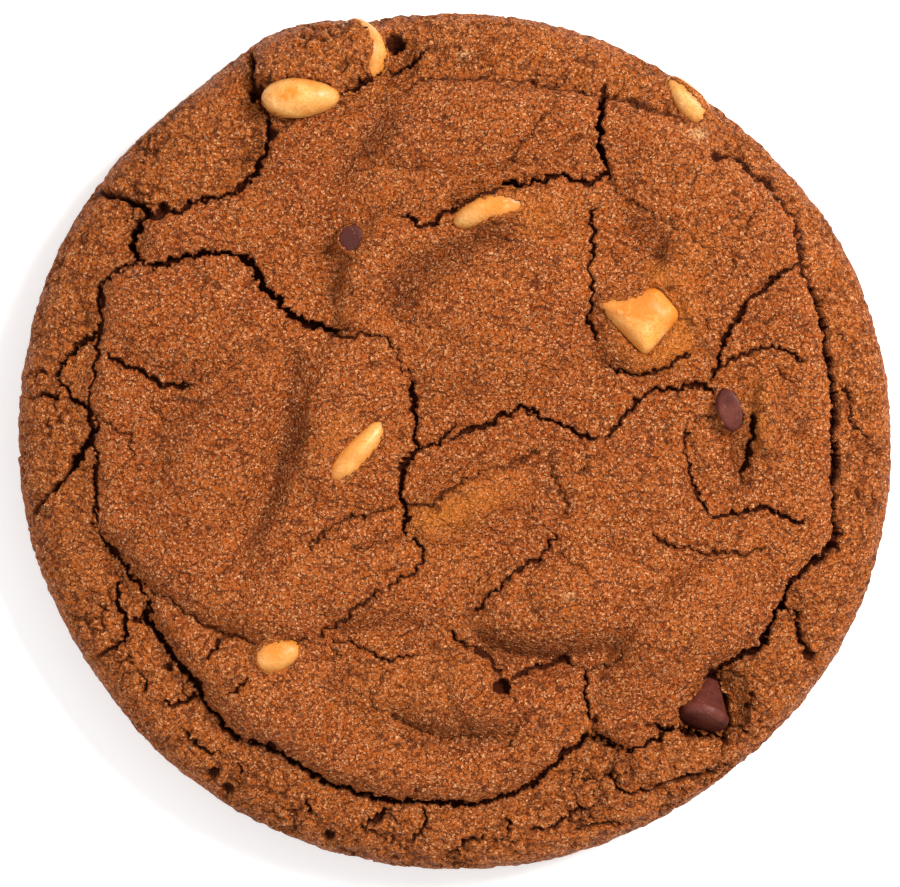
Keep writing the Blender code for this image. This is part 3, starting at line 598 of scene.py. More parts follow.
# %% Round holes and pits: place, radius, depth
HOLES = (
    (5.9, -30.2, 1.1, 1.8),
    (17.2, -34.4, 0.6, 1.0),
    (43.8, -26.6, 0.9, 1.4),
    (38.5, 31.8, 0.8, 1.4),
    (32.3, 34.9, 0.8, 1.2),
    (-29.7, -41.1, 0.8, 1.2),
    (-28.2, -43.3, 0.8, 1.2),
    (-15.5, -48.9, 0.8, 1.2),
    (36.7, -31.3, 0.5, 1.2),
    (36.1, -32.8, 0.45, 1.0),
    (-22.5, 37.5, 0.9, 1.6),
    (-35.9, 28.2, 1.0, 1.8),
    (-24.5, 42.8, 1.1, 2.0),
    (-7.4, 48.9, 1.3, 2.0),
)
ALL_CRACKS = {**RING_CRACKS, **PLATE_CRACKS, **RIM_CRACKS}
print(len(ALL_CRACKS), "cracks and", len(HOLES), "holes")

# %% [markdown]
# ## Folds
# Where dough slumped over dough, one side of a line stands higher than the other. A fold is a step: the
# ground on the left of the walk rises from the line over its roll, like the edge of a pillow, and the
# lift fades out over its reach. Sculpting could do it too, but a walk keeps each fold at its place and
# can be changed by a number.

# %% Folds: rise of the left side, roll, reach, places
FOLDS = {
    "dome_over_the_valley": (3.4, 2.8, 10, ((9, 24.6), (3, 24.7), (-1, 23.6), (-5, 20.6), (-8, 18.4),
        (-9.5, 15))),
    "crescent_over_the_curved_nut": (1.9, 1.0, 7, ((-4, 25.8), (-2.5, 27.5), (0, 29.6), (5, 31), (13, 33))),
    "west_flank_of_the_crescent": (3.0, 2.6, 9, ((-6.5, 43.6), (-10, 38.5), (-13.5, 34), (-17.5, 29.5))),
    "crescent_over_the_rim": (1.0, 1.1, 6, ((18, 42.3), (13, 43.9), (8, 44.6), (0, 45), (-6.5, 43.4))),
    "west_flank_of_the_long_nut_ridge": (2.9, 2.0, 7, ((-19, 13.5), (-20.2, 7), (-21, 0), (-22.4, -6),
        (-24.5, -11), (-27.5, -16))),
    "west_flank_of_the_long_ridge": (1.6, 2.8, 8, ((-21, 12.5), (-27, 8), (-32, 4.5), (-35, -1),
        (-37, -8))),
    "belly_over_the_south_west": (2.4, 2.2, 8, ((-44, -9.5), (-41, -14.5), (-37, -19), (-31, -22.6),
        (-25, -24.6), (-18.5, -25))),
    "plate_over_the_south_west_rim": (1.6, 1.8, 8, ((-39, -19.5), (-34, -27), (-31, -31.5), (-26.5, -36.8),
        (-18.5, -40.4), (-10.5, -44), (0, -44.8), (6, -43.6), (13, -39.6))),
    "belly_over_the_lobe": (1.8, 2.2, 7, ((-17, -24.6), (-12, -23.4), (-6, -22.9), (-1, -23.6))),
    "south_lump_over_the_step": (2.7, 2.6, 9, ((-1, -23.4), (5, -25.8), (13, -26.9), (19, -26),
        (22.5, -22.5))),
    "lobe_over_its_foot": (2.5, 2.6, 9, ((-10, -32), (-5.5, -35.4), (0, -36.6), (6, -36.3), (9.5, -34.6))),
    "plate_over_the_east_rim": (0.8, 1.2, 6, ((38.5, -24), (42, -17.5), (46.5, -12.5), (46.6, -4), (46.8, 4),
        (45, 15), (42.5, 24), (39, 30.5))),
}
# How strongly painted shade darkens the dough on the flank of a fold, 0 to 1
FOLD_SHADE = {
    "dome_over_the_valley": 1.0,
    "west_flank_of_the_crescent": 0.8,
    "west_flank_of_the_long_nut_ridge": 1.0,
    "south_lump_over_the_step": 1.0,
    "lobe_over_its_foot": 0.9,
    "belly_over_the_south_west": 0.5,
    "belly_over_the_lobe": 0.6,
    "plate_over_the_south_west_rim": 0.3,
}
print(len(FOLDS), "folds,", len(FOLD_SHADE), "of them shaded")

# %% Small lumps and hollows
# Forms of the dressed cookie alone: place, half length, half width, direction in degrees, height
SMALL_LUMPS = {
    "ridge_by_the_small_chip": (-10.2, 20.8, 8.5, 3.6, 67, 2.1),
    "valley_by_the_small_chip": (-17.5, 19.5, 6, 3.5, 60, -1.0),
    "band_west_of_the_crescent": (-15.5, 37.2, 6, 2.2, 22, 0.6),
    "crest_of_the_lobe": (2.2, -29.6, 6, 3.2, 98, 1.4),
    "crest_of_the_south_east_plate": (27, -23, 14, 4.4, 48, 1.9),
    "crest_of_the_glowing_lump": (3.2, -6.6, 7, 3.6, 28, 0.9),
    "crest_of_the_south_lump": (13.5, -18.5, 5, 4, 10, 0.9),
    "ridge_north_east_of_the_kite": (27.4, 22.2, 4.6, 1.9, 88, 0.9),
    "ridge_east_of_the_kite": (30.1, 15, 5.2, 1.7, 115, 0.9),
    "hollow_north_of_the_kite": (22.3, 22.6, 4.8, 3.4, 62, -1.0),
    "ridge_east_of_the_pocket": (38.4, 2.6, 5.6, 1.9, 93, 1.5),
    "ridge_west_of_the_pocket": (30.8, -1.2, 4, 1.6, 100, 0.7),
    "foot_of_the_curved_nut": (1, 30.2, 3.2, 1.1, 32, -0.9),
}

# %% [markdown]
# ## A mesh that is fine where the detail is
# One grid fine enough for the crack edges would need a million faces. The plan is laid with three
# honeycomb grids instead: coarse on the smooth plate, finer on the crumbly rim, finest along the cracks
# and around the nuts. A Delaunay triangulation joins them into one sheet.

# %% Walks
WANDER = 0.35
WANDER_LENGTH = 4.0
# Layers of noise that move a walk east and north
WANDER_LAYERS = (5.5, 15.5)
WALK_STEP = 1.2


def crooked(route):
    """Walk along a route in even steps, with the small wander of a real crack."""
    route = np.array(route, dtype=float)
    walk = even_line(route, max(2, round(marks_along(route)[-1] / WALK_STEP) + 1))
    flat = np.column_stack((walk, np.zeros(len(walk))))
    soften(walk)
    drift = np.column_stack([waves(flat, WANDER_LENGTH, layer) for layer in WANDER_LAYERS])
    return walk + WANDER * drift


def beside_walk(x, y, walk):
    """Distance to a walk, the side of it (+1 is left), and the distance to its nearer end along it."""
    nearest = np.full(x.shape, np.inf)
    side = np.zeros(x.shape)
    travelled = np.zeros(x.shape)
    begun = 0.0
    for start, end in zip(walk[:-1], walk[1:]):
        run = end - start
        length = math.hypot(*run)
        share = np.clip(((x - start[0]) * run[0] + (y - start[1]) * run[1]) / length ** 2, 0, 1)
        east = x - start[0] - share * run[0]
        north = y - start[1] - share * run[1]
        gap = np.hypot(east, north)
        closer = gap < nearest
        nearest = np.where(closer, gap, nearest)
        side = np.where(closer, np.sign(run[0] * north - run[1] * east), side)
        travelled = np.where(closer, begun + share * length, travelled)
        begun += length
    return nearest, side, np.minimum(travelled, begun - travelled)


def near_corners(x, y, corners, reach, among=slice(None)):
    """Which of the places lie in the box round some corners, widened by a reach."""
    low, high = np.min(corners, 0) - reach, np.max(corners, 0) + reach
    x, y = x[among], y[among]
    return np.flatnonzero((x > low[0]) & (x < high[0]) & (y > low[1]) & (y < high[1]))


# %% Walks of all the cracks
walks = {}
for name, (depth, half_width, route) in ALL_CRACKS.items():
    walks[name] = (depth, half_width, crooked(route))
print(len(walks), "walks, the longest of", max(len(walk) for _, _, walk in walks.values()), "places")


# %% Windows in the dough
# Outline of the bare part of each nut and chip, seen from above
WINDOWS = {
    "nut_top_left": ((-23.7, 42), (-23.3, 43.6), (-21.6, 44.2), (-19.4, 44.7), (-17, 44.5), (-15.2, 43.7),
        (-14.2, 42.4), (-14.2, 41.3), (-15, 40.2), (-16.8, 39.5), (-19, 39.3), (-21.4, 39.8), (-23, 40.7)),
    "nut_under_dome": ((-12.7, 52.3), (-10.6, 51.6), (-9.1, 49.9), (-8.4, 47.9), (-8.9, 45.8), (-10.1, 44.6),
        (-10.3, 45.6), (-10, 47.3), (-9.7, 49), (-10.7, 50.8)),
    "nut_at_rim": ((26.6, 44.5), (27.4, 44.1), (28.3, 43.2), (29.2, 42.2), (30.2, 41.4), (30.7, 40.5),
        (30.5, 39.5), (29.9, 38.9), (29.2, 39.1), (28.2, 39.8), (27.3, 40.6), (26.8, 41.5), (26.7, 43)),
    "nut_curved": ((-0.7, 26.5), (0.8, 28.2), (3, 29.5), (5.1, 29.7), (6.6, 29.6), (7.9, 29.1), (8.1, 28.5),
        (6.9, 28.1), (5.1, 27.5), (3.4, 27), (2.2, 26.1), (1.3, 25.6), (0.1, 25.9)),
    "butter_chip": ((18, 16.6), (19.4, 17), (21.6, 17.1), (23.2, 17.7), (24.1, 19.2), (25, 19.4), (26.3, 18),
        (27.7, 16.3), (28, 15), (27.8, 13.3), (26.8, 11.5), (25.3, 9.9), (23, 9.1), (21.6, 10.9),
        (20.3, 13.3), (19, 14.7)),
    "nut_long": ((-15.2, -5.1), (-15, -3.2), (-13.6, -1.2), (-12.1, 0.2), (-11, 1.5), (-9.8, 2.4),
        (-8.7, 2.2), (-8.9, 0.6), (-9.8, -1.1), (-11, -2.5), (-12.3, -3.8), (-13.8, -4.7)),
    "nut_low_left": ((-24.2, -27), (-24.1, -26.1), (-23.2, -25.3), (-21.5, -24.8), (-20, -24.8),
        (-19.1, -25.3), (-19.1, -26.4), (-19.8, -27.1), (-21, -28), (-22.5, -28.5), (-23.6, -28.1)),
    "chip_flat": ((32.5, 6.4), (33.1, 6.4), (34.2, 5.8), (35, 4.6), (35.4, 3.3), (35.4, 2.1), (34.7, 1.1),
        (34, 1.1), (33.1, 1.9), (32.4, 3), (32, 4.2), (32.1, 5.6)),
    "chip_cone": ((31.9, -27.9), (32.4, -29), (32.8, -31.2), (33.6, -32.6), (33.9, -33.7), (33.6, -34.9),
        (33.1, -35.7), (31.6, -36), (29.8, -35.8), (28.3, -35.2), (27.6, -34.2), (27.4, -32.9),
        (28.9, -32.2), (30, -31), (30.9, -29.6), (31.4, -28.6)),
    "chip_small": ((-13.9, 25.3), (-13.2, 26.1), (-12.4, 26.3), (-11.7, 25.8), (-11.2, 25), (-11.5, 23.9),
        (-12.2, 23.2), (-13.1, 23.3), (-13.8, 23.9), (-14.1, 24.6)),
}


def inside_outline(x, y, outline):
    """Distance to a closed outline, positive inside it and negative outside."""
    corners = np.array(outline, dtype=float)
    closed = np.vstack((corners, corners[:1]))
    gap = beside_walk(x, y, closed)[0]
    inside = np.zeros(x.shape, dtype=bool)
    for (x0, y0), (x1, y1) in zip(closed[:-1], closed[1:]):
        crosses = (y0 > y) != (y1 > y)
        rise = y1 - y0 if y1 != y0 else 1.0
        inside ^= crosses & (x < (x1 - x0) * (y - y0) / rise + x0)
    return np.where(inside, gap, -gap)


# %% Plan of the mesh
PLATE_STEP = 0.46
RIM_STEP = 0.37
FINE_STEP = 0.252
FINE_REACH = 0.55
WINDOW_REACH = 0.8
OUT_OF_REACH = 9.0
GRID_MARGIN = 3
# Points round the cookie, and how far inside the outline the top sheet ends
ROUND_COUNT = 760
TOP_INSET = 2.5
RIM_OVERLAP = 0.5
# Shares of a step that stay free beside a border, for the top and the base
BORDER_GAP = 0.6
BASE_BORDER_GAP = 0.5


def honeycomb(step):
    """Places of a honeycomb grid over the whole cookie."""
    rows = np.arange(-RADIUS - GRID_MARGIN, RADIUS + GRID_MARGIN, step * math.sqrt(3) / 2)
    columns = np.arange(-RADIUS - GRID_MARGIN, RADIUS + GRID_MARGIN, step)
    x = columns[None, :] + (np.arange(len(rows)) % 2)[:, None] * step / 2
    y = np.repeat(rows[:, None], len(columns), axis=1)
    return x.ravel(), y.ravel()


def is_fine(x, y):
    """Which places lie along a crack, at a hole or around a window."""
    fine = np.zeros(x.shape, dtype=bool)
    for _, half_width, walk in walks.values():
        reach = half_width + FINE_REACH
        near = near_corners(x, y, walk, reach)
        fine[near] |= beside_walk(x[near], y[near], walk)[0] < reach
    for east, north, radius, _ in HOLES:
        fine |= np.hypot(x - east, y - north) < radius + FINE_REACH
    for outline in WINDOWS.values():
        near = near_corners(x, y, outline, 2 * WINDOW_REACH)
        fine[near] |= np.abs(inside_outline(x[near], y[near], outline)) < WINDOW_REACH
    return fine


# %% Top sheet
plan = []
around = np.linspace(-math.pi, math.pi, ROUND_COUNT, endpoint=False)
border = outline_radius(around) - TOP_INSET
plan += list(zip(border * np.cos(around), border * np.sin(around)))
# Step, whether it takes the fine places, and whether it takes the rim (None for both)
GRIDS = ((PLATE_STEP, False, False), (RIM_STEP, False, True), (FINE_STEP, True, None))
for step, wants_fine, wants_rim in GRIDS:
    x, y = honeycomb(step)
    angle = np.arctan2(y, x)
    reach = np.hypot(x, y)
    kept = outline_radius(angle) - reach > TOP_INSET + BORDER_GAP * step
    if wants_rim is not None:
        kept &= (reach > plate_radius(angle) - RIM_OVERLAP) == wants_rim
    x, y = x[kept], y[kept]
    kept = is_fine(x, y) == wants_fine
    plan += list(zip(x[kept], y[kept]))
    print("grid of", step, "mm:", int(kept.sum()), "places")
border_edges = [(k, (k + 1) % ROUND_COUNT) for k in range(ROUND_COUNT)]
sheet = delaunay_2d_cdt([Vector(place) for place in plan], border_edges, [], 1, 1e-5)
top_xy = np.array([tuple(place) for place in sheet[0]])
top_faces = [tuple(face) for face in sheet[2]]
first_place = {old: new for new, olds in enumerate(sheet[3]) for old in olds}
border_ids = [first_place[k] for k in range(ROUND_COUNT)]
print("top sheet:", len(top_xy), "places,", len(top_faces), "faces")

# %% [markdown]
# ## Sides and underside
# The side is a rounded shoulder above the waist and a tucked-in foot below it, both quarter ovals. Rings
# of points follow these curves at even steps, so the side is as fine as the top. The flat base is a
# coarser honeycomb.

# %% Rings of the side
SHOULDER_RINGS = 12
FOOT_RINGS = 11
BASE_STEP = 1.7
SHOULDER_RISE = 7.0
# How fast the relief fades out towards the base
FOOT_FADE = 0.7

shoulder_start = math.acos(1 - TOP_INSET / SHOULDER)
ring_xyz = []
ring_out = []
heading = np.column_stack((np.cos(around), np.sin(around)))
for turn in np.linspace(shoulder_start, 0, SHOULDER_RINGS + 1)[1:]:
    reach = outline_radius(around) - SHOULDER * (1 - math.cos(turn))
    x, y = (heading * reach[:, None]).T
    ring_xyz.append(np.column_stack((x, y, broad_height(x, y))))
    slope = np.array((math.cos(turn) / SHOULDER, math.sin(turn) / SHOULDER_RISE))
    slope /= np.hypot(*slope)
    ring_out.append(np.column_stack((heading * slope[0], np.full(ROUND_COUNT, slope[1]))))
foot_fade = []
for turn in np.linspace(0, math.pi / 2, FOOT_RINGS + 1)[1:]:
    reach = outline_radius(around) - BASE_INSET * (1 - math.cos(turn))
    level = WAIST_HEIGHT * (1 - math.sin(turn))
    ring_xyz.append(np.column_stack((heading * reach[:, None], np.full(ROUND_COUNT, level))))
    slope = np.array((math.cos(turn) / BASE_INSET, -math.sin(turn) / WAIST_HEIGHT))
    slope /= np.hypot(*slope)
    ring_out.append(np.column_stack((heading * slope[0], np.full(ROUND_COUNT, slope[1]))))
    foot_fade.append(math.cos(turn) ** FOOT_FADE)
print(len(ring_xyz), "rings of", ROUND_COUNT, "points")

# %% The base sheet
base_border = ring_xyz[-1][:, :2]
x, y = honeycomb(BASE_STEP)
kept = outline_radius(np.arctan2(y, x)) - BASE_INSET - np.hypot(x, y) > BASE_BORDER_GAP * BASE_STEP
base_plan = [Vector(place) for place in (*base_border, *zip(x[kept], y[kept]))]
sheet = delaunay_2d_cdt(base_plan, border_edges, [], 1, 1e-5)
base_xy = np.array([tuple(place) for place in sheet[0]])
base_faces = [tuple(face)[::-1] for face in sheet[2]]
base_place = {old: new for new, olds in enumerate(sheet[3]) for old in olds}
base_border_ids = [base_place[k] for k in range(ROUND_COUNT)]
print("base sheet:", len(base_xy), "places")

# %% Join the sheets into one skin
top_count = len(top_xy)
top_x, top_y = top_xy.T
inset = np.maximum(outline_radius(np.arctan2(top_y, top_x)) - np.hypot(top_x, top_y), 0)
cosine = 1 - np.clip(inset / SHOULDER, 0, 1)
slopes = np.column_stack((cosine / SHOULDER, np.sqrt(1 - cosine ** 2) / SHOULDER_RISE))
slopes /= np.hypot(*slopes.T)[:, None]
top_heading = top_xy / np.maximum(np.hypot(top_x, top_y), 1e-6)[:, None]
top_out = np.column_stack((top_heading * slopes[:, :1], slopes[:, 1]))
skin = [np.column_stack((top_xy, broad_height(top_x, top_y)))]
outward = [top_out]
fade = [np.ones(top_count)]
faces = list(top_faces)
above = border_ids
for k, ring in enumerate(ring_xyz):
    last_ring = k == len(ring_xyz) - 1
    below = [top_count + k * ROUND_COUNT + i for i in range(ROUND_COUNT)]
    if last_ring:
        below = [top_count + k * ROUND_COUNT + i for i in base_border_ids]
    for i in range(ROUND_COUNT):
        after = (i + 1) % ROUND_COUNT
        faces.append((above[i], below[i], below[after], above[after]))
    above = below
    if not last_ring:
        skin.append(ring)
        outward.append(ring_out[k])
        lower = k - SHOULDER_RINGS
        fade.append(np.full(ROUND_COUNT, 1.0 if lower < 0 else foot_fade[lower]))
base_start = top_count + (len(ring_xyz) - 1) * ROUND_COUNT
faces += [tuple(base_start + i for i in face) for face in base_faces]
skin.append(np.column_stack((base_xy, np.zeros(len(base_xy)))))
outward.append(np.tile((0.0, 0.0, -1.0), (len(base_xy), 1)))
fade.append(np.zeros(len(base_xy)))
skin = np.vstack(skin)
outward = np.vstack(outward)
fade = np.concatenate(fade)
triangles = sum(len(face) - 2 for face in faces)
print("skin:", len(skin), "points,", triangles, "triangles")

# %% [markdown]
# ## Relief
# The relief is how far each point moves along the skin's own direction. Crumbs are rounded cells with
# dark gaps between them, strong on the rim and faint on the plate. A crack's edge is ragged because
# whole crumbs are either in it or out of it, so the edge follows the borders between crumbs on one side
# of the walk and on the other. A displacement texture could raise crumbs, but not keep them whole there.

# %% Crumbs of the rim and the plate
CRUMB_SIZE = 0.74
CLUSTER_SIZE = 1.8
# How far a point beside a hole is drawn to its crumb's middle, 0 to 1, and how far the cells are bent
RAGGED = 0.5
CRUMB_BEND = 0.22
CLUSTER_BEND = 0.5
BEND_LENGTH = 1.6
BEND_LAYERS = (7.0, 17.0, 27.0)
PATCH_LENGTH = 11.0
# Distances outside the plate's edge between which the surface turns into rim
RIM_BEGINS = (-1.0, 1.5)
x, y, z = skin.T
reach = np.hypot(x, y)
angle = np.arctan2(y, x)
outside_plate = reach - plate_radius(angle)
rim = ease(outside_plate, *RIM_BEGINS)
patchy = waves(skin, PATCH_LENGTH, layer=3.3)
drift = np.column_stack([waves(skin, BEND_LENGTH, layer) for layer in BEND_LAYERS])
crumb_reach, crumb_middles = cells(skin + CRUMB_BEND * drift, CRUMB_SIZE, layer=40.0)
crumb_near = crumb_reach[:, 0]
cluster_reach = cells(skin + CLUSTER_BEND * drift, CLUSTER_SIZE, layer=60.0)[0]
cluster_near = cluster_reach[:, 0]
cluster_gap = cluster_reach[:, 1] - cluster_near
ask_x, ask_y = (skin + RAGGED * (crumb_middles[:, 0] - skin))[:, :2].T
print("on the rim:", int((rim > 0.5).sum()), "points of", len(skin))


def beside_border(near, walk):
    """Distance from points to the border between the crumbs on one side of a walk and on the other."""
    sides = []
    for k in range(4):
        sides.append(beside_walk(crumb_middles[near, k, 0], crumb_middles[near, k, 1], walk)[1])
    own = crumb_middles[near, 0]
    nearest = np.full(len(near), OUT_OF_REACH)
    for k in (1, 2, 3):
        apart = np.linalg.norm(crumb_middles[near, k] - own, axis=1)
        to_border = crumb_reach[near, k] ** 2 - crumb_reach[near, 0] ** 2
        to_border = to_border * CRUMB_SIZE ** 2 / np.maximum(2 * apart, 1e-6)
        nearest = np.where(sides[k] != sides[0], np.minimum(nearest, to_border), nearest)
    return nearest


# %% Cracks, their shoulders and their rough edges
# The ground dips beside a crack by a share of its depth, over a reach in half widths
SINK_SHARE = 0.10
SINK_REACH = 3.0
SINK_BOX = 3
# How much a crack's width comes and goes, and over which length
WIDTH_CHANGE = 0.8
WIDTH_CHANGE_LENGTH = 4.5
WIDTH_SHARE = 0.78
LEAST_WIDTH = 0.05
# Distances from a crack's end between which it grows wide, and deep
END_WIDENS = (-1.5, 2.0)
END_DEEPENS = (-0.6, 1.2)
# The relief of the top also reaches this far below the waist
BELOW_WAIST = 1.5
crack = np.zeros(len(skin))
sink = np.zeros(len(skin))
beside = np.full(len(skin), OUT_OF_REACH)
upper = np.flatnonzero(z > WAIST_HEIGHT - BELOW_WAIST)
width_wave = waves(skin, WIDTH_CHANGE_LENGTH, layer=51.0)
for depth, half_width, walk in walks.values():
    near = upper[near_corners(x, y, walk, SINK_BOX * SINK_REACH * half_width + 1, upper)]
    plain_gap, _, from_end = beside_walk(x[near], y[near], walk)
    gap = np.where(plain_gap < half_width + CRUMB_SIZE, beside_border(near, walk), OUT_OF_REACH)
    width = WIDTH_SHARE * half_width * (1 + WIDTH_CHANGE * width_wave[near]) * ease(from_end, *END_WIDENS)
    share = np.clip(gap / np.maximum(width, LEAST_WIDTH), 0, 1)
    floor = -depth * np.sqrt(1 - share ** 3) * ease(from_end, *END_DEEPENS)
    crack[near] = np.minimum(crack[near], floor)
    dip = SINK_SHARE * depth * np.exp(-((plain_gap / (SINK_REACH * half_width)) ** 2))
    sink[near] = np.minimum(sink[near], -dip)
    beside[near] = np.minimum(beside[near], np.maximum(gap - width, 0))
for east, north, radius, depth in HOLES:
    share = np.clip(np.hypot(ask_x - east, ask_y - north) / radius, 0, 1)
    crack[upper] = np.minimum(crack[upper], -depth * np.sqrt(1 - share[upper] ** 2))
print("deepest crack:", round(float(-crack.min()), 2), "mm")

# %% Folds
# Share of the rise that dips below the ground at the line, the length over which a fold grows at its
# ends, and where the painted shade on its flank lies and how wide it is, in rolls
FOLD_CREASE = 0.55
FOLD_END = 5.0
FLANK_MIDDLE = 0.35
FLANK_WIDTH = 0.75
FOLD_BOX = 2.2
lift = np.zeros(len(skin))
fold_shade_share = np.zeros(len(skin))
for name, (rise, roll, fade_reach, route) in FOLDS.items():
    walk = crooked(route)
    near = upper[near_corners(x, y, walk, FOLD_BOX * fade_reach, upper)]
    gap, side, from_end = beside_walk(x[near], y[near], walk)
    slope_share = np.exp(-gap / roll)
    raised = np.where(side > 0, 1 - FOLD_CREASE - slope_share, -FOLD_CREASE * slope_share)
    ends = ease(from_end, 0, FOLD_END)
    lift[near] += rise * raised * np.exp(-((gap / fade_reach) ** 2)) * ends
    flank = np.exp(-(((gap * side - FLANK_MIDDLE * roll) / (FLANK_WIDTH * roll)) ** 2))
    # Painted shade: a dark band on the flank of each shaded fold
    fold_shade_share[near] = np.maximum(fold_shade_share[near], FOLD_SHADE.get(name, 0) * flank * ends)
print("folds lift the dough by up to", round(float(lift.max()), 2), "mm")

# %% Crumbs
CRUMB_HEIGHT = 0.24
# Distance from a crumb's middle, in crumbs, where it is neither raised nor sunk
CRUMB_LEVEL = 0.55
CRACK_EDGE = 1.3
# How rough the dough is anywhere, and how much more on the rim, beside a crack and in patches
ROUGH_ANYWHERE = 0.25
ROUGH_RIM = 0.75
ROUGH_EDGE = 0.5
ROUGH_PATCH = 0.25
LEAST_ROUGH = 0.12
MOST_ROUGH = 1.2
near_crack = np.exp(-beside / CRACK_EDGE)
rough = ROUGH_ANYWHERE + ROUGH_RIM * rim + ROUGH_EDGE * near_crack + ROUGH_PATCH * patchy
rough = np.clip(rough, LEAST_ROUGH, MOST_ROUGH)
crumb = CRUMB_HEIGHT * (CRUMB_LEVEL - crumb_near) * rough
print("crumbs from", round(float(crumb.min()), 2), "to", round(float(crumb.max()), 2), "mm")

# %% Clusters of crumbs, and the splits between them
CLUSTER_HEIGHT = 0.30
CLUSTER_LEVEL = 0.62
CLUSTERS_RIM = 0.75
CLUSTERS_EDGE = 0.4
CLUSTERS_ANYWHERE = 0.06
SPLIT_DEPTH = 0.7
SPLIT_WIDTH = 0.15
# Share of the rim that is split, how strongly that comes and goes, and over which length
SPLITS_RIM = 0.3
SPLITS_CHANGE = 1.6
SPLITS_LENGTH = 5.0
clustered = np.clip(rim * (CLUSTERS_RIM + patchy) + CLUSTERS_EDGE * near_crack + CLUSTERS_ANYWHERE, 0, 1)
cluster = CLUSTER_HEIGHT * (CLUSTER_LEVEL - cluster_near) * clustered
broken = np.clip(rim * (SPLITS_RIM + SPLITS_CHANGE * waves(skin, SPLITS_LENGTH, layer=71.0)), 0, 1)
split = -SPLIT_DEPTH * ease(SPLIT_WIDTH - cluster_gap, 0, SPLIT_WIDTH) * broken
print("points in a split of the rim:", int((split < -SPLIT_DEPTH / 2).sum()))

# %% Swells
# Soft unevenness: height anywhere, how much more on the rim, its length, its layer of noise
SWELLS = (
    (0.02, 0.15, 3.2, 81.0),
    (0.015, 0.07, 1.5, 91.0),
)
swell = np.zeros(len(skin))
for anywhere, on_rim, length, layer in SWELLS:
    swell += (anywhere + on_rim * rim) * waves(skin, length, layer)
print("swells up to", round(float(swell.max()), 2), "mm")

# %% All the relief together
# The CAD box is 17.3 high: forms above the ceiling are squeezed into the give
CEILING = 16.6
CEILING_GIVE = 0.7
SIDE_CLUSTER = 0.6
SIDE_SPLIT = 0.5
# Height above the waist over which the forms of the top come in
TOP_FADE = 3
top_side = ease(z, WAIST_HEIGHT, WAIST_HEIGHT + TOP_FADE)
small_lumps = add_lumps(np.zeros(len(skin)), x, y, SMALL_LUMPS) * top_side
relief = crack + sink + lift + small_lumps + (crumb + cluster + split + swell)
side_relief = crumb + SIDE_CLUSTER * cluster + SIDE_SPLIT * split + swell
relief = np.where(z < WAIST_HEIGHT, side_relief, relief)
moved = skin + outward * (relief * fade)[:, None]
moved[:, 2] = np.maximum(moved[:, 2], 0)
over = np.maximum(moved[:, 2] - CEILING, 0)
moved[:, 2] = np.minimum(moved[:, 2], CEILING) + CEILING_GIVE * (1 - np.exp(-over / CEILING_GIVE))
print("relief from", round(float(relief.min()), 2), "to", round(float(relief.max()), 2), "mm")

# %% [markdown]
# ## The dough closes around the pieces
# Inside a window the dough stays below the nut or chip, and outside it, where the piece goes on under the
# surface, a thin film of dough lies over it. A ray straight down onto each piece gives its height there.

# %% Close the dough around each piece
FILM = 0.10
FILM_GROWTH = 0.28
UNDER = 0.5
# Distances over which the dough dips under a piece, and over which the film's mask fades
DIP_REACH = 0.3
FILM_REACH = 1.2
RAGGED_EDGE = 0.3
BOX_REACH = 1.5
HIGH_ABOVE = 40.0
# Shares of the crumbs and swells that show in the film
FILM_CRUMB = 0.6
FILM_SWELL = 0.3
film = np.zeros(len(skin))
crumb_over = FILM_CRUMB * crumb + FILM_SWELL * swell
for name, outline in WINDOWS.items():
    points, piece = pieces[name]
    tree = BVHTree.FromPolygons(points.tolist(), [tuple(face.vertices) for face in piece.data.polygons])
    near = upper[near_corners(x, y, points, BOX_REACH, upper)]
    ragged = moved[near, :2] + RAGGED_EDGE * (crumb_middles[near, 0, :2] - skin[near, :2])
    within = inside_outline(ragged[:, 0], ragged[:, 1], outline)
    for i, share in zip(near, within):
        hit = tree.ray_cast(Vector((moved[i, 0], moved[i, 1], HIGH_ABOVE)), Vector((0, 0, -1)))[0]
        if hit is None:
            continue
        if share > 0:
            moved[i, 2] = min(moved[i, 2], hit.z - UNDER * min(share / DIP_REACH, 1.0))
            continue
        thick = FILM + FILM_GROWTH * (1 - math.exp(share)) + crumb_over[i]
        if hit.z + thick > moved[i, 2]:
            film[i] = math.exp(share / FILM_REACH)
            moved[i, 2] = hit.z + thick
print("points in the film:", int((film > 0).sum()))

# %% [markdown]
# ## Masks for the materials
# The finish changes over the dough: painted shade darkens the cracks and the flank of a fold, the rim is
# paler, and it turns orange and oily where a nut shows through. A shader could guess this from slope and
# height, but the relief knows it exactly, so each is kept as a number on every point, and the material reads
# it.

# %% Masks
# Places where something pale or oily shows through the dough: place, half length, half width,
# direction, strength
GLOW = (
    (1.5, -8.2, 6.0, 2.2, 28, 0.75),
    (-2.5, -9.0, 3.0, 1.5, 20, 0.5),
    (37.3, 2.5, 1.6, 4.5, 0, 0.55),
    (29.0, 22.5, 2.2, 3.0, 40, 0.35),
    (27.8, 13.6, 1.8, 4.2, -8, 0.9),
    (25.0, 10.2, 3.0, 1.5, 20, 0.8),
    (25.5, 19.8, 2.2, 1.6, -30, 0.8),
    (20.5, 11.8, 3.4, 1.2, -50, 0.35),
    (9.5, 27.8, 4.0, 2.2, -25, 0.5),
    (-14.6, 1.0, 1.4, 4.0, -42, 0.35),
    (-6.0, -30.0, 7.0, 4.0, 0, 0.15),
)
# Pale crumbs that stand a little proud
PALE = (
    (30.0, 37.6, 1.2, 0.8, 0, 0.9),
    (1.1, 47.3, 0.9, 0.6, 20, 0.8),
    (13.9, -19.2, 0.8, 0.6, 0, 0.5),
)
PALE_RISE = 0.45
PALE_SHARPNESS = 1.5
# How much painted shade the dips beside cracks and the gaps between crumbs get
SINK_SHADE = 0.2
CRUMB_SHADE = 0.15
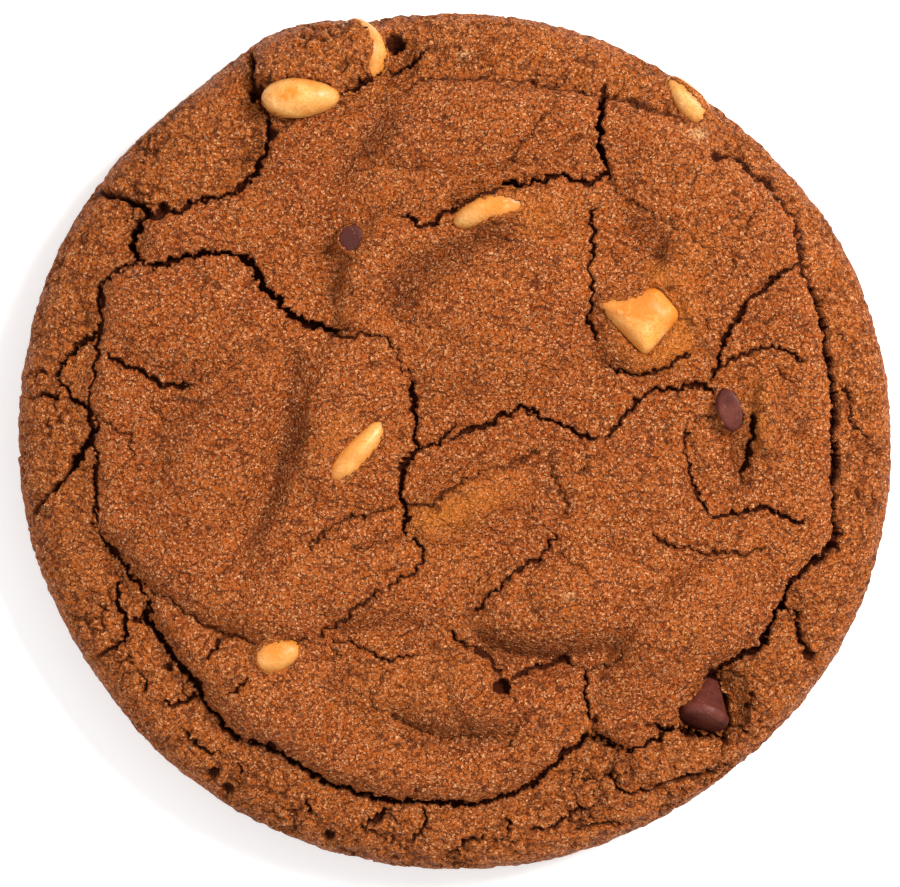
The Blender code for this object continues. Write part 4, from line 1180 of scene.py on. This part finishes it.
# Below this share of the relief the foot gets no painted shade in its hollows
HOLLOW_FADE = 0.4
BASE_REACH = 1.2


def oval_mask(spots, x, y, sharpness=1.0):
    """Sum of soft ovals: 1 times the strength in the middle of each."""
    mask = np.zeros(len(x))
    for *oval, strength in spots:
        mask += strength * np.exp(-sharpness * in_oval(x, y, *oval))
    return np.clip(mask, 0, 1)


# %% Masks of the dough
glow = oval_mask(GLOW, x, y) * top_side
pale = oval_mask(PALE, x, y, PALE_SHARPNESS) * top_side
moved[:, 2] += PALE_RISE * pale
# Painted shade: how deep a point lies in a crack, a hole, a dip or a gap, up to 1
painted_hollow_shade = -(crack + SINK_SHADE * sink + split + np.minimum(crumb, 0) * CRUMB_SHADE)
masks = {
    "painted_hollow_shade": np.clip(painted_hollow_shade, 0, 1) * (fade > HOLLOW_FADE),
    "rim": rim,
    "film": np.clip(film, 0, 1),
    "glow": glow,
    "fold_painted_shade": fold_shade_share,
    "pale": pale,
    "base": ease(BASE_REACH - z, 0, BASE_REACH),
}


def add_mask(piece, name, values):
    """Keep a number on every point of a piece."""
    mask = piece.data.attributes.new(name, "FLOAT", "POINT")
    mask.data.foreach_set("value", np.asarray(values, dtype=np.float32))


# %% The dough's piece
dough = make_piece("dough_skin", moved, faces, "dough")
for name, values in masks.items():
    add_mask(dough, name, values)
print("dough:", len(dough.data.polygons), "faces, masks", ", ".join(masks))

# %% Toasted places on the nuts, and dark places on the chocolate
# Place, half length, half width, direction, strength
TOAST_AND_SHADE = {
    "nut_top_left": ((-20.4, 42.4, 1.2, 0.8, 10, 1.5), (-17.5, 43.6, 2.4, 0.7, -20, 0.6)),
    "nut_under_dome": ((-9.6, 48.9, 0.8, 1.2, 0, 0.4),),
    "nut_at_rim": ((29.0, 40.2, 1.6, 0.5, 129, 0.25),),
    "nut_curved": ((6.2, 28.9, 3.0, 1.2, 15, 1.0), (2.5, 29.0, 2.5, 0.5, 25, 0.5)),
    "nut_long": ((-13.4, -0.6, 4.5, 0.8, 48, 1.0), (-15.2, -4.0, 1.0, 1.0, 0, 0.8)),
    "nut_low_left": ((-21.5, -25.6, 2.2, 0.9, 10, 1.0),),
    "butter_chip": (
        (23.6, 16.2, 2.2, 2.0, -20, 1.0),
        (21.0, 15.9, 2.4, 0.8, 5, 1.0),
        (27.4, 13.0, 1.3, 3.6, 8, 1.0),
        (24.6, 18.8, 1.4, 1.2, 0, 1.0),
        (22.0, 11.4, 3.0, 0.6, -48, 0.7),
    ),
    # On chocolate the same mask darkens: the small chip all over, and the foot of the drop with painted
    # shade
    "chip_small": ((-12.6, 24.6, 6, 6, 0, 1.0),),
    "chip_cone": ((29.2, -35.4, 4.6, 1.5, -20, 1.0),),
}
# How far the dough stains a piece inwards from its bare edge
STAIN_REACH = {"butter_chip": 1.3}
PLAIN_STAIN_REACH = 0.45
for name, (points, piece) in pieces.items():
    toast_and_shade = oval_mask(TOAST_AND_SHADE.get(name, ()), points[:, 0], points[:, 1])
    within = inside_outline(points[:, 0], points[:, 1], WINDOWS[name])
    add_mask(piece, "toast_and_shade", toast_and_shade)
    stain_reach = STAIN_REACH.get(name, PLAIN_STAIN_REACH)
    add_mask(piece, "near_dough", np.exp(-np.maximum(within, 0) / stain_reach))

# %% [markdown]
# ## Shared effects
# The finishes share a few effects: places in noise, crumb grain, hairline cracks, oily glints, spots.
# Each is a node group with named inputs and outputs, built once and set in each material with its own
# values. A group gives out only colours, masks and heights; the shader stays in the material.

# %% One node at a time


def add_node(tree, kind, inputs=None, **settings):
    """Add a node, set its options, and link or set its inputs."""
    made = tree.nodes.new(kind)
    for option, value in settings.items():
        setattr(made, option, value)
    for socket, value in (inputs or {}).items():
        if isinstance(value, bpy.types.NodeSocket):
            tree.links.new(value, made.inputs[socket])
        else:
            made.inputs[socket].default_value = value
    return made


def reckon(tree, operation, first, second=0.0, clamp=False):
    """A Math node's result."""
    inputs = {0: first, 1: second}
    return add_node(tree, "ShaderNodeMath", inputs, operation=operation, use_clamp=clamp).outputs[0]


def reckon_vector(tree, operation, first, second):
    """A Vector Math node's result; a scale is the node's fourth socket."""
    socket = 3 if operation == "SCALE" else 1
    made = add_node(tree, "ShaderNodeVectorMath", {0: first, socket: second}, operation=operation)
    return made.outputs[0]


# %% Places and noise


def noise_at(tree, place, scale, detail=0.0, output=0):
    """A Noise node's value, or its colour from output 1."""
    inputs = {"Vector": place, "Scale": scale, "Detail": detail}
    return add_node(tree, "ShaderNodeTexNoise", inputs).outputs[output]


def bend_places(tree, place, scale, detail, strength):
    """Move places about by slow noise, which is centred on no move at all."""
    drift = reckon_vector(tree, "SUBTRACT", noise_at(tree, place, scale, detail, 1), (0.5, 0.5, 0.5))
    return reckon_vector(tree, "ADD", place, reckon_vector(tree, "SCALE", drift, strength))


def channels_of(tree, colour):
    """The red, green and blue of a colour."""
    return add_node(tree, "ShaderNodeSeparateColor", {0: colour}).outputs


def ramp_up(tree, value, low, high):
    """0 below low, 1 above high, smooth between."""
    made = add_node(tree, "ShaderNodeMapRange", {"Value": value, "From Min": low, "From Max": high},
                    interpolation_type="SMOOTHSTEP")
    return made.outputs["Result"]


# %% Colours


def mix_colours(tree, share, first, second):
    """A Mix Color node's result."""
    inputs = {0: share, 6: first, 7: second}
    return add_node(tree, "ShaderNodeMix", inputs, data_type="RGBA").outputs[2]


def tint(tree, colour, mask, share, towards):
    """A colour, moved towards another by a share of a mask."""
    return mix_colours(tree, reckon(tree, "MULTIPLY", mask, share), colour, towards)


def millimetres(tree, stretch=(1, 1, 1)):
    """Places on the cookie in millimetres, squeezed along an axis where asked."""
    place = add_node(tree, "ShaderNodeTexCoord").outputs["Object"]
    return reckon_vector(tree, "MULTIPLY", place, tuple(share / MM for share in stretch))


# %% Groups
SOCKETS = {float: "NodeSocketFloat", tuple: "NodeSocketColor"}


def new_group(name, inputs, outputs):
    """A shader node group with named inputs and outputs."""
    group = bpy.data.node_groups.new(name, "ShaderNodeTree")
    for label, value in inputs.items():
        socket = group.interface.new_socket(name=label, in_out="INPUT", socket_type=SOCKETS[type(value)])
        socket.default_value = value
    for label, kind in outputs.items():
        group.interface.new_socket(name=label, in_out="OUTPUT", socket_type=SOCKETS[kind])
    return group, group.nodes.new("NodeGroupInput").outputs, group.nodes.new("NodeGroupOutput").inputs


def place_group(tree, group, **values):
    """Set a group in a material with its own values."""
    return add_node(tree, "ShaderNodeGroup", values, node_tree=group).outputs


# %% [markdown]
# ### Crumb grain
# Under a lens the skin is a felt of crumbs and short fibres about half a millimetre long. Swirled noise
# gives the fibres and small cells give the crumbs. Together they are one height for a Bump node, with
# masks for the gaps, the light fibres and each crumb's own tone. Real geometry at this size would need
# tens of millions of faces.

# %% Crumb grain
# Where a crumb ends and its gap is full, in crumbs from its middle
GAP_EDGES = (0.56, 0.74)
GAP_DEPTH = 0.45
# How fast the swirl and the strokes change, for each crumb
SWIRL_SCALE = 1.3
STROKE_SCALE = 1.15
# A fibre lies where one noise crosses its middle, and shows where another is high
FIBRE_EDGES = (0.085, 0.03)
FLECK_EDGES = (0.42, 0.52)
grain, given, result = new_group("crumb_grain", {"Size": 0.9, "Swirl": 0.35, "Fibre": 0.4},
                                 {"Height": float, "Gap": float, "Fleck": float, "Tone": float})
place = millimetres(grain)
per_mm = reckon(grain, "DIVIDE", 1.0, given["Size"])
bent = bend_places(grain, place, reckon(grain, "MULTIPLY", per_mm, SWIRL_SCALE), 0.0, given["Swirl"])
crumbs = add_node(grain, "ShaderNodeTexVoronoi", {"Vector": bent, "Scale": per_mm}, feature="F1")
off_middle = crumbs.outputs["Distance"]
mound = reckon(grain, "SUBTRACT", 1.0, reckon(grain, "MULTIPLY", off_middle, off_middle))
between = ramp_up(grain, off_middle, *GAP_EDGES)
stroke_noise = noise_at(grain, bent, reckon(grain, "MULTIPLY", per_mm, STROKE_SCALE), 0.0, 1)
strokes = channels_of(grain, stroke_noise)
strand = reckon(grain, "ABSOLUTE", reckon(grain, "SUBTRACT", strokes[0], 0.5))
fibre = ramp_up(grain, strand, *FIBRE_EDGES)
fleck = reckon(grain, "MULTIPLY", fibre, ramp_up(grain, strokes[2], *FLECK_EDGES))
tall = reckon(grain, "ADD", mound, reckon(grain, "MULTIPLY", fleck, given["Fibre"]))
dip = reckon(grain, "MULTIPLY", between, GAP_DEPTH)
grain.links.new(reckon(grain, "SUBTRACT", tall, dip), result["Height"])
grain.links.new(between, result["Gap"])
grain.links.new(fleck, result["Fleck"])
grain.links.new(channels_of(grain, crumbs.outputs["Color"])[0], result["Tone"])
print("group:", grain.name)

# %% [markdown]
# ### Hairline cracks
# Fine cracks run over the dough, mostly from side to side. Each could be a walk like the large ones, but
# there are hundreds, and most are thinner than the mesh is fine. So they are the borders of stretched
# cells, shown only in patches and dashes, as a mask that darkens the colour.

# %% Hairline cracks
# The stretch makes the cells wide, and the bend keeps their borders from being straight
STRETCH = (0.8, 1.25, 1.0)
BEND_SCALE = 0.6
BEND_DETAIL = 1.0
BEND_STRENGTH = 2.2
# The line is fully dark in its inner part and fades out at its width
LINE_CORE = 1.8
# How fast the patches and dashes change, and where they begin and are full
PATCH_SCALE = 0.22
PATCH_SOFTNESS = 0.1
DASH_SCALE = 0.9
DASH_EDGES = (0.40, 0.52)
hairlines, given, result = new_group("hairline_cracks", {"Spacing": 4.0, "Width": 0.03, "Amount": 0.5},
                                     {"Mask": float})
place = millimetres(hairlines, STRETCH)
place = bend_places(hairlines, place, BEND_SCALE, BEND_DETAIL, BEND_STRENGTH)
spacing = reckon(hairlines, "DIVIDE", 1.0, given["Spacing"])
border = add_node(hairlines, "ShaderNodeTexVoronoi", {"Vector": place, "Scale": spacing},
                  feature="DISTANCE_TO_EDGE").outputs["Distance"]
from_line = reckon(hairlines, "MULTIPLY", reckon(hairlines, "DIVIDE", border, given["Width"]), LINE_CORE)
line = reckon(hairlines, "SUBTRACT", LINE_CORE, from_line, clamp=True)
patch = noise_at(hairlines, place, PATCH_SCALE)
shown = ramp_up(hairlines, patch, reckon(hairlines, "SUBTRACT", 1.0, given["Amount"]),
                reckon(hairlines, "SUBTRACT", 1.0 + PATCH_SOFTNESS, given["Amount"]))
dashes = noise_at(hairlines, place, DASH_SCALE)
shown = reckon(hairlines, "MULTIPLY", shown, ramp_up(hairlines, dashes, *DASH_EDGES))
hairlines.links.new(reckon(hairlines, "MULTIPLY", line, shown), result["Mask"])
print("group:", hairlines.name)

# %% [markdown]
# ### Patches of colour
# No baked or roasted thing has one colour. The tones could be painted by hand, but every finish here
# needs them, at another size. This effect mixes three tones by slow noise, so that lighter and darker
# areas drift over the surface.

# %% Patches of colour
LIGHT_EDGES = (0.45, 0.75)
DARK_EDGES = (0.52, 0.28)
GREYS = {"Middle": (0.5, 0.5, 0.5, 1.0), "Light": (0.8, 0.8, 0.8, 1.0), "Dark": (0.2, 0.2, 0.2, 1.0)}
patches, given, result = new_group("colour_patches", {**GREYS, "Size": 10.0}, {"Color": tuple})
place = millimetres(patches)
slowness = reckon(patches, "DIVIDE", 1.0, given["Size"])
slow = add_node(patches, "ShaderNodeTexNoise", {"Vector": place, "Scale": slowness, "Detail": 2.0,
                                                "Roughness": 0.6}).outputs[0]
tone = mix_colours(patches, ramp_up(patches, slow, *LIGHT_EDGES), given["Middle"], given["Light"])
tone = mix_colours(patches, ramp_up(patches, slow, *DARK_EDGES), tone, given["Dark"])
patches.links.new(tone, result["Color"])
print("group:", patches.name)

# %% [markdown]
# ### Glints
# Sugar crystals and oily crumb tips throw back the light as tiny bright dots. On the dough they are pale
# spots in the colour, partly sugar and partly painted highlight. As real grains they would be thousands of
# objects. Here a few cells out of many are picked by their own random number, and only their middles are
# marked.

# %% Glints
CORE_EDGES = (0.42, 0.22)
glints, given, result = new_group("glints", {"Size": 0.5, "Amount": 0.1}, {"Mask": float})
per_mm = reckon(glints, "DIVIDE", 1.0, given["Size"])
dots = add_node(glints, "ShaderNodeTexVoronoi", {"Vector": millimetres(glints), "Scale": per_mm},
                feature="F1")
chosen = reckon(glints, "LESS_THAN", channels_of(glints, dots.outputs["Color"])[1], given["Amount"])
core = ramp_up(glints, dots.outputs["Distance"], *CORE_EDGES)
glints.links.new(reckon(glints, "MULTIPLY", chosen, core), result["Mask"])
print("group:", glints.name)

# %% [markdown]
# ## The dough's material
# Chocolate dough is a matt red-brown, with painted shade in every hollow, between the crumbs and on the
# flanks of folds, pale crumb tips that also carry painted highlights, pale sugar with painted glints,
# hairline cracks and an orange oily tint over hidden nuts. It could be painted on an image, but that needs
# an unwrapped mesh and blurs close up. Here the masks on the points say where, and the groups give the
# texture.

# %% Colours of the dough
DOUGH_MIDDLE = (0.308, 0.066, 0.0078, 1)
DOUGH_LIGHT = (0.345, 0.080, 0.0105, 1)
DOUGH_DARK = (0.268, 0.054, 0.0064, 1)
# Pale crumb tips, also standing in for painted highlights on them
CRUMB_TIP_AND_HIGHLIGHT = (0.62, 0.29, 0.125, 1)
# Dark red-brown, for darker crumbs and for the painted shade in the gaps between crumbs
DARK_CRUMB_AND_GAP_SHADE = (0.09, 0.014, 0.003, 1)
# Near black, for the hairline cracks and for the painted shade in cracks and hollows
CRACK_LINE_AND_SHADE_COLOUR = (0.05, 0.009, 0.002, 1)
OILY_ORANGE = (0.56, 0.165, 0.018, 1)
DOUGH_RIM = (0.345, 0.082, 0.010, 1)
# Painted shade on the flank of a fold
FOLD_SHADE_COLOUR = (0.15, 0.032, 0.005, 1)
PALE_CRUMB = (0.66, 0.36, 0.15, 1)
BASE_BROWN = (0.20, 0.060, 0.020, 1)
# Pale sugar, also standing in for painted glints
SUGAR_AND_GLINT = (0.85, 0.70, 0.52, 1)

# %% Helpers for materials


def new_material(name, roughness):
    """A Principled material; returns it, its tree and its shader."""
    material = bpy.data.materials.new(name)
    material.use_nodes = True
    tree = material.node_tree
    shader = tree.nodes["Principled BSDF"]
    shader.inputs["Roughness"].default_value = roughness
    return material, tree, shader


def mask_on_points(tree, name):
    """A number kept on the points of the piece."""
    made = add_node(tree, "ShaderNodeAttribute", attribute_type="GEOMETRY", attribute_name=name)
    return made.outputs["Fac"]


def bump(tree, height, distance, strength):
    """The normal of a Bump node; distance in millimetres."""
    inputs = {"Height": height, "Distance": distance * MM, "Strength": strength}
    return add_node(tree, "ShaderNodeBump", inputs).outputs["Normal"]


# %% Textures and masks of the dough
DOUGH_ROUGHNESS = 0.62
DOUGH_SPECULAR = 0.08
# How strongly the larger clumps show on the plate, and how much more on the rim
CLUMPS = 0.12
CLUMPS_OF_RIM = 0.3
FILM_GLOW = 0.4
dough_material, tree, shader = new_material("baked_dough", DOUGH_ROUGHNESS)
shader.inputs["Specular IOR Level"].default_value = DOUGH_SPECULAR
clump_out = place_group(tree, grain, Size=0.95, Swirl=0.8, Fibre=0.0)
grain_out = place_group(tree, grain, Size=0.37, Swirl=0.4, Fibre=0.22)
lines = place_group(tree, hairlines, Spacing=2.6, Width=0.065, Amount=0.68)["Mask"]
dots = place_group(tree, glints, Size=0.36, Amount=0.025)["Mask"]
rim_share = mask_on_points(tree, "rim")
clumpy = reckon(tree, "ADD", CLUMPS, reckon(tree, "MULTIPLY", rim_share, CLUMPS_OF_RIM))
thin_film = reckon(tree, "MULTIPLY", mask_on_points(tree, "film"), FILM_GLOW)
oily = reckon(tree, "MAXIMUM", mask_on_points(tree, "glow"), thin_film)
colour = place_group(tree, patches, Middle=DOUGH_MIDDLE, Light=DOUGH_LIGHT, Dark=DOUGH_DARK,
                     Size=9.0)["Color"]

# %% Tints of the dough
# Where the dough is tinted, how strongly and towards which colour, one over the other
DOUGH_TINTS = (
    (rim_share, 0.75, DOUGH_RIM),
    # Painted shade on the flank of a fold
    (mask_on_points(tree, "fold_painted_shade"), 0.6, FOLD_SHADE_COLOUR),
    (mask_on_points(tree, "pale"), 1.0, PALE_CRUMB),
    (ramp_up(tree, grain_out["Tone"], 0.3, 1.0), 0.2, DARK_CRUMB_AND_GAP_SHADE),
    # Pale crumb tips, partly painted highlight
    (grain_out["Fleck"], 0.88, CRUMB_TIP_AND_HIGHLIGHT),
    # Painted shade in the gaps between crumbs
    (grain_out["Gap"], 0.66, DARK_CRUMB_AND_GAP_SHADE),
    # Painted shade in the gaps between clumps
    (clump_out["Gap"], clumpy, DARK_CRUMB_AND_GAP_SHADE),
    (oily, 0.5, OILY_ORANGE),
    (lines, 0.6, CRACK_LINE_AND_SHADE_COLOUR),
    # Pale sugar dots, partly painted glint
    (dots, 0.25, SUGAR_AND_GLINT),
    # Painted shade in cracks, holes, dips and gaps
    (ramp_up(tree, mask_on_points(tree, "painted_hollow_shade"), 0.15, 0.8), 1.0, CRACK_LINE_AND_SHADE_COLOUR),
    (mask_on_points(tree, "base"), 0.6, BASE_BROWN),
)
for mask, share, towards in DOUGH_TINTS:
    colour = tint(tree, colour, mask, share, towards)
tree.links.new(colour, shader.inputs["Base Color"])
print("tints of the dough:", len(DOUGH_TINTS))

# %% Shine and bump of the dough
SMOOTHER_TIPS = 0.28
GRAIN_HEIGHT = 0.6
DOUGH_BUMP = 0.32
smoother = reckon(tree, "MULTIPLY", grain_out["Fleck"], SMOOTHER_TIPS)
tree.links.new(reckon(tree, "SUBTRACT", DOUGH_ROUGHNESS, smoother), shader.inputs["Roughness"])
clump_height = reckon(tree, "MULTIPLY", clump_out["Height"], clumpy)
height = reckon(tree, "ADD", clump_height, reckon(tree, "MULTIPLY", grain_out["Height"], GRAIN_HEIGHT))
tree.links.new(bump(tree, height, DOUGH_BUMP, 1.0), shader.inputs["Normal"])
dough.data.materials.append(dough_material)
print("material:", dough_material.name, len(tree.nodes), "nodes")

# %% [markdown]
# ## Peanuts
# A roasted peanut is a waxy pale yellow with orange toasted places, faint veins along its length and tiny
# brown specks, and it shines softly with oil. The toasted places are a mask on the points, so they lie
# where they should, and the shared groups break them up into strokes and specks.

# %% Peanut
NUT_MIDDLE = (0.68, 0.33, 0.085, 1)
NUT_LIGHT = (0.76, 0.42, 0.13, 1)
NUT_DARK = (0.58, 0.24, 0.05, 1)
TOASTED = (0.62, 0.19, 0.014, 1)
SPECK = (0.34, 0.13, 0.03, 1)
STAIN = (0.48, 0.15, 0.018, 1)
MOTTLE_EDGES = (-0.6, 0.9)
STROKE_SHARE = 0.6
SPECK_SHARE = 0.45
STAIN_SHARE = 0.75
VEIN_BUMP = 0.035


def roasted(name, middle, light, dark, toasted, toast_share, roughness):
    """The finish that nuts and the butter chip share: patches, toast, specks and a stained edge."""
    material, tree, shader = new_material(name, roughness)
    colour = place_group(tree, patches, Middle=middle, Light=light, Dark=dark, Size=3.0)["Color"]
    mottle = place_group(tree, grain, Size=1.2, Swirl=1.0, Fibre=0.8)["Height"]
    mottled = ramp_up(tree, mottle, *MOTTLE_EDGES)
    toast_and_shade = reckon(tree, "MULTIPLY", mask_on_points(tree, "toast_and_shade"), mottled)
    colour = mix_colours(tree, reckon(tree, "MULTIPLY", toast_and_shade, toast_share, clamp=True), colour, toasted)
    strokes = place_group(tree, grain, Size=0.5, Swirl=0.4, Fibre=0.2)["Fleck"]
    colour = tint(tree, colour, strokes, STROKE_SHARE, toasted)
    specks = place_group(tree, glints, Size=0.33, Amount=0.05)["Mask"]
    colour = tint(tree, colour, specks, SPECK_SHARE, SPECK)
    colour = tint(tree, colour, mask_on_points(tree, "near_dough"), STAIN_SHARE, STAIN)
    tree.links.new(colour, shader.inputs["Base Color"])
    veins = place_group(tree, grain, Size=0.9, Swirl=0.5, Fibre=1.2)["Height"]
    tree.links.new(bump(tree, veins, VEIN_BUMP, 0.7), shader.inputs["Normal"])
    shader.inputs["Coat Weight"].default_value = 0.12
    shader.inputs["Coat Roughness"].default_value = 0.3
    shader.inputs["Specular IOR Level"].default_value = 0.3
    print("material:", name, len(tree.nodes), "nodes")
    return material


peanut = roasted("peanut", NUT_MIDDLE, NUT_LIGHT, NUT_DARK, TOASTED, toast_share=1.1, roughness=0.42)
for name in NUTS:
    pieces[name][1].data.materials.append(peanut)

# %% [markdown]
# ## The butter chip
# It is softer and more orange than a nut, with a mottled skin where the sugar browned. It takes the
# nuts' finish with colours of its own, because the oven toasted and the dough stained both alike.

# %% Butter chip
BUTTER_MIDDLE = (0.75, 0.35, 0.08, 1)
BUTTER_LIGHT = (0.81, 0.50, 0.20, 1)
BUTTER_DARK = (0.70, 0.28, 0.045, 1)
BUTTER_TOASTED = (0.62, 0.17, 0.008, 1)
butter = roasted("butter_chip", BUTTER_MIDDLE, BUTTER_LIGHT, BUTTER_DARK, BUTTER_TOASTED,
                 toast_share=1.3, roughness=0.62)
pieces["butter_chip"][1].data.materials.append(butter)

# %% [markdown]
# ## Chocolate
# The chips are dark red-brown chocolate with a dull shine that changes over the surface, and heat has
# brought a little grey bloom to them. The small chip is darker all over, and the foot of the drop is
# darkened with painted shade. One dark colour with an even gloss would look like plastic, so patches,
# smears and pale dots break it up.

# %% Chocolate
CHOCOLATE = (0.098, 0.021, 0.013, 1)
CHOCOLATE_LIGHT = (0.125, 0.030, 0.020, 1)
CHOCOLATE_DARK = (0.055, 0.011, 0.008, 1)
BLOOM = (0.30, 0.17, 0.13, 1)
DARK_SHARE = 0.8
BLOOM_SHARE = 0.35
CHOCOLATE_ROUGHNESS = 0.46
SMEAR_ROUGHNESS = 0.18
SMEAR_BUMP = 0.03
chocolate, tree, shader = new_material("chocolate", CHOCOLATE_ROUGHNESS)
shader.inputs["Specular IOR Level"].default_value = 0.16
colour = place_group(tree, patches, Middle=CHOCOLATE, Light=CHOCOLATE_LIGHT, Dark=CHOCOLATE_DARK,
                     Size=2.4)["Color"]
# Painted shade on the foot of the drop, and a darker small chip, from the mask kept on the points
colour = tint(tree, colour, mask_on_points(tree, "toast_and_shade"), DARK_SHARE, CHOCOLATE_DARK)
dust = place_group(tree, glints, Size=0.25, Amount=0.16)["Mask"]
colour = tint(tree, colour, dust, BLOOM_SHARE, BLOOM)
tree.links.new(colour, shader.inputs["Base Color"])
smear = place_group(tree, grain, Size=1.1, Swirl=0.9, Fibre=0.8)["Height"]
duller = reckon(tree, "MULTIPLY", smear, SMEAR_ROUGHNESS)
tree.links.new(reckon(tree, "ADD", CHOCOLATE_ROUGHNESS, duller), shader.inputs["Roughness"])
tree.links.new(bump(tree, smear, SMEAR_BUMP, 0.6), shader.inputs["Normal"])
shader.inputs["Coat Weight"].default_value = 0.02
shader.inputs["Coat Roughness"].default_value = 0.3
for name in ("chip_flat", "chip_small", "chip_cone"):
    pieces[name][1].data.materials.append(chocolate)
print("material:", chocolate.name, len(tree.nodes), "nodes")

# %% [markdown]
# ## Floor, light and camera
# The cookie lies on a pale, faintly glowing table, as product pictures use, under a large soft lamp from
# the upper right, with the room's light filling the shadows. The camera looks straight down from about a
# metre with a long lens, which keeps the outline nearly free of perspective. A picture of a room could
# light it as well, but two lamps of a known size are easier to match to a shadow.

# %% Floor
FLOOR_HALF = 0.9
# A hair under the cookie's base, so that the two faces don't share one plane
FLOOR_DROP = 0.0002
PAPER_GLOW = 0.3
floor_mesh = bpy.data.meshes.new("floor")
corners = [(-FLOOR_HALF, -FLOOR_HALF, 0), (FLOOR_HALF, -FLOOR_HALF, 0), (FLOOR_HALF, FLOOR_HALF, 0),
           (-FLOOR_HALF, FLOOR_HALF, 0)]
floor_mesh.from_pydata(corners, [], [(0, 1, 2, 3)])
floor = bpy.data.objects.new("floor", floor_mesh)
bpy.context.scene.collection.objects.link(floor)
floor.location.z = -FLOOR_DROP
paper, tree, shader = new_material("pale_paper", roughness=0.9)
shader.inputs["Emission Color"].default_value = (1, 1, 1, 1)
shader.inputs["Emission Strength"].default_value = PAPER_GLOW
paper_tone = place_group(tree, patches, Middle=(0.86, 0.86, 0.86, 1), Light=(0.88, 0.88, 0.88, 1),
                         Dark=(0.84, 0.84, 0.84, 1), Size=60.0)["Color"]
tree.links.new(paper_tone, shader.inputs["Base Color"])
floor_mesh.materials.append(paper)

# %% Light


def soft_lamp(name, place, size, power, colour):
    """A square area lamp that faces the cookie."""
    lamp = bpy.data.lights.new(name, "AREA")
    lamp.size = size
    lamp.energy = power
    lamp.color = colour
    stand = bpy.data.objects.new(name, lamp)
    stand.location = place
    stand.rotation_euler = (-Vector(place)).to_track_quat("-Z", "Y").to_euler()
    bpy.context.scene.collection.objects.link(stand)


ROOM_LIGHT = 0.65
soft_lamp("key_from_the_right", (0.52, 0.31, 0.66), size=0.30, power=12.0, colour=(1.0, 0.97, 0.92))
soft_lamp("fill_from_the_left", (-0.6, -0.3, 0.6), size=0.6, power=2.4, colour=(0.96, 0.98, 1.0))
room = bpy.data.worlds.new("room")
bpy.context.scene.world = room
room.use_nodes = True
background = room.node_tree.nodes["Background"]
background.inputs["Color"].default_value = (1, 1, 1, 1)
background.inputs["Strength"].default_value = ROOM_LIGHT
bpy.context.scene.view_settings.view_transform = "Standard"

# %% Camera
PHOTO_WIDTH = 900
PHOTO_HEIGHT = 887
PIXELS_PER_MM = 8.074
MIDDLE_IN_PHOTO = (454.5, 440.0)
LENS = 300
SENSOR_WIDTH = 36
FARTHEST_VIEW = 10
camera_data = bpy.data.cameras.new("camera")
camera_data.lens = LENS
camera_data.sensor_width = SENSOR_WIDTH
camera = bpy.data.objects.new("camera", camera_data)
frame_width = PHOTO_WIDTH / PIXELS_PER_MM
distance = frame_width * LENS / SENSOR_WIDTH
camera.location = (
    (PHOTO_WIDTH / 2 - MIDDLE_IN_PHOTO[0]) / PIXELS_PER_MM * MM,
    (MIDDLE_IN_PHOTO[1] - PHOTO_HEIGHT / 2) / PIXELS_PER_MM * MM,
    (distance + WAIST_HEIGHT) * MM,
)
camera_data.clip_end = FARTHEST_VIEW
bpy.context.scene.collection.objects.link(camera)
bpy.context.scene.camera = camera
print("camera height:", round(camera.location.z, 3), "m")
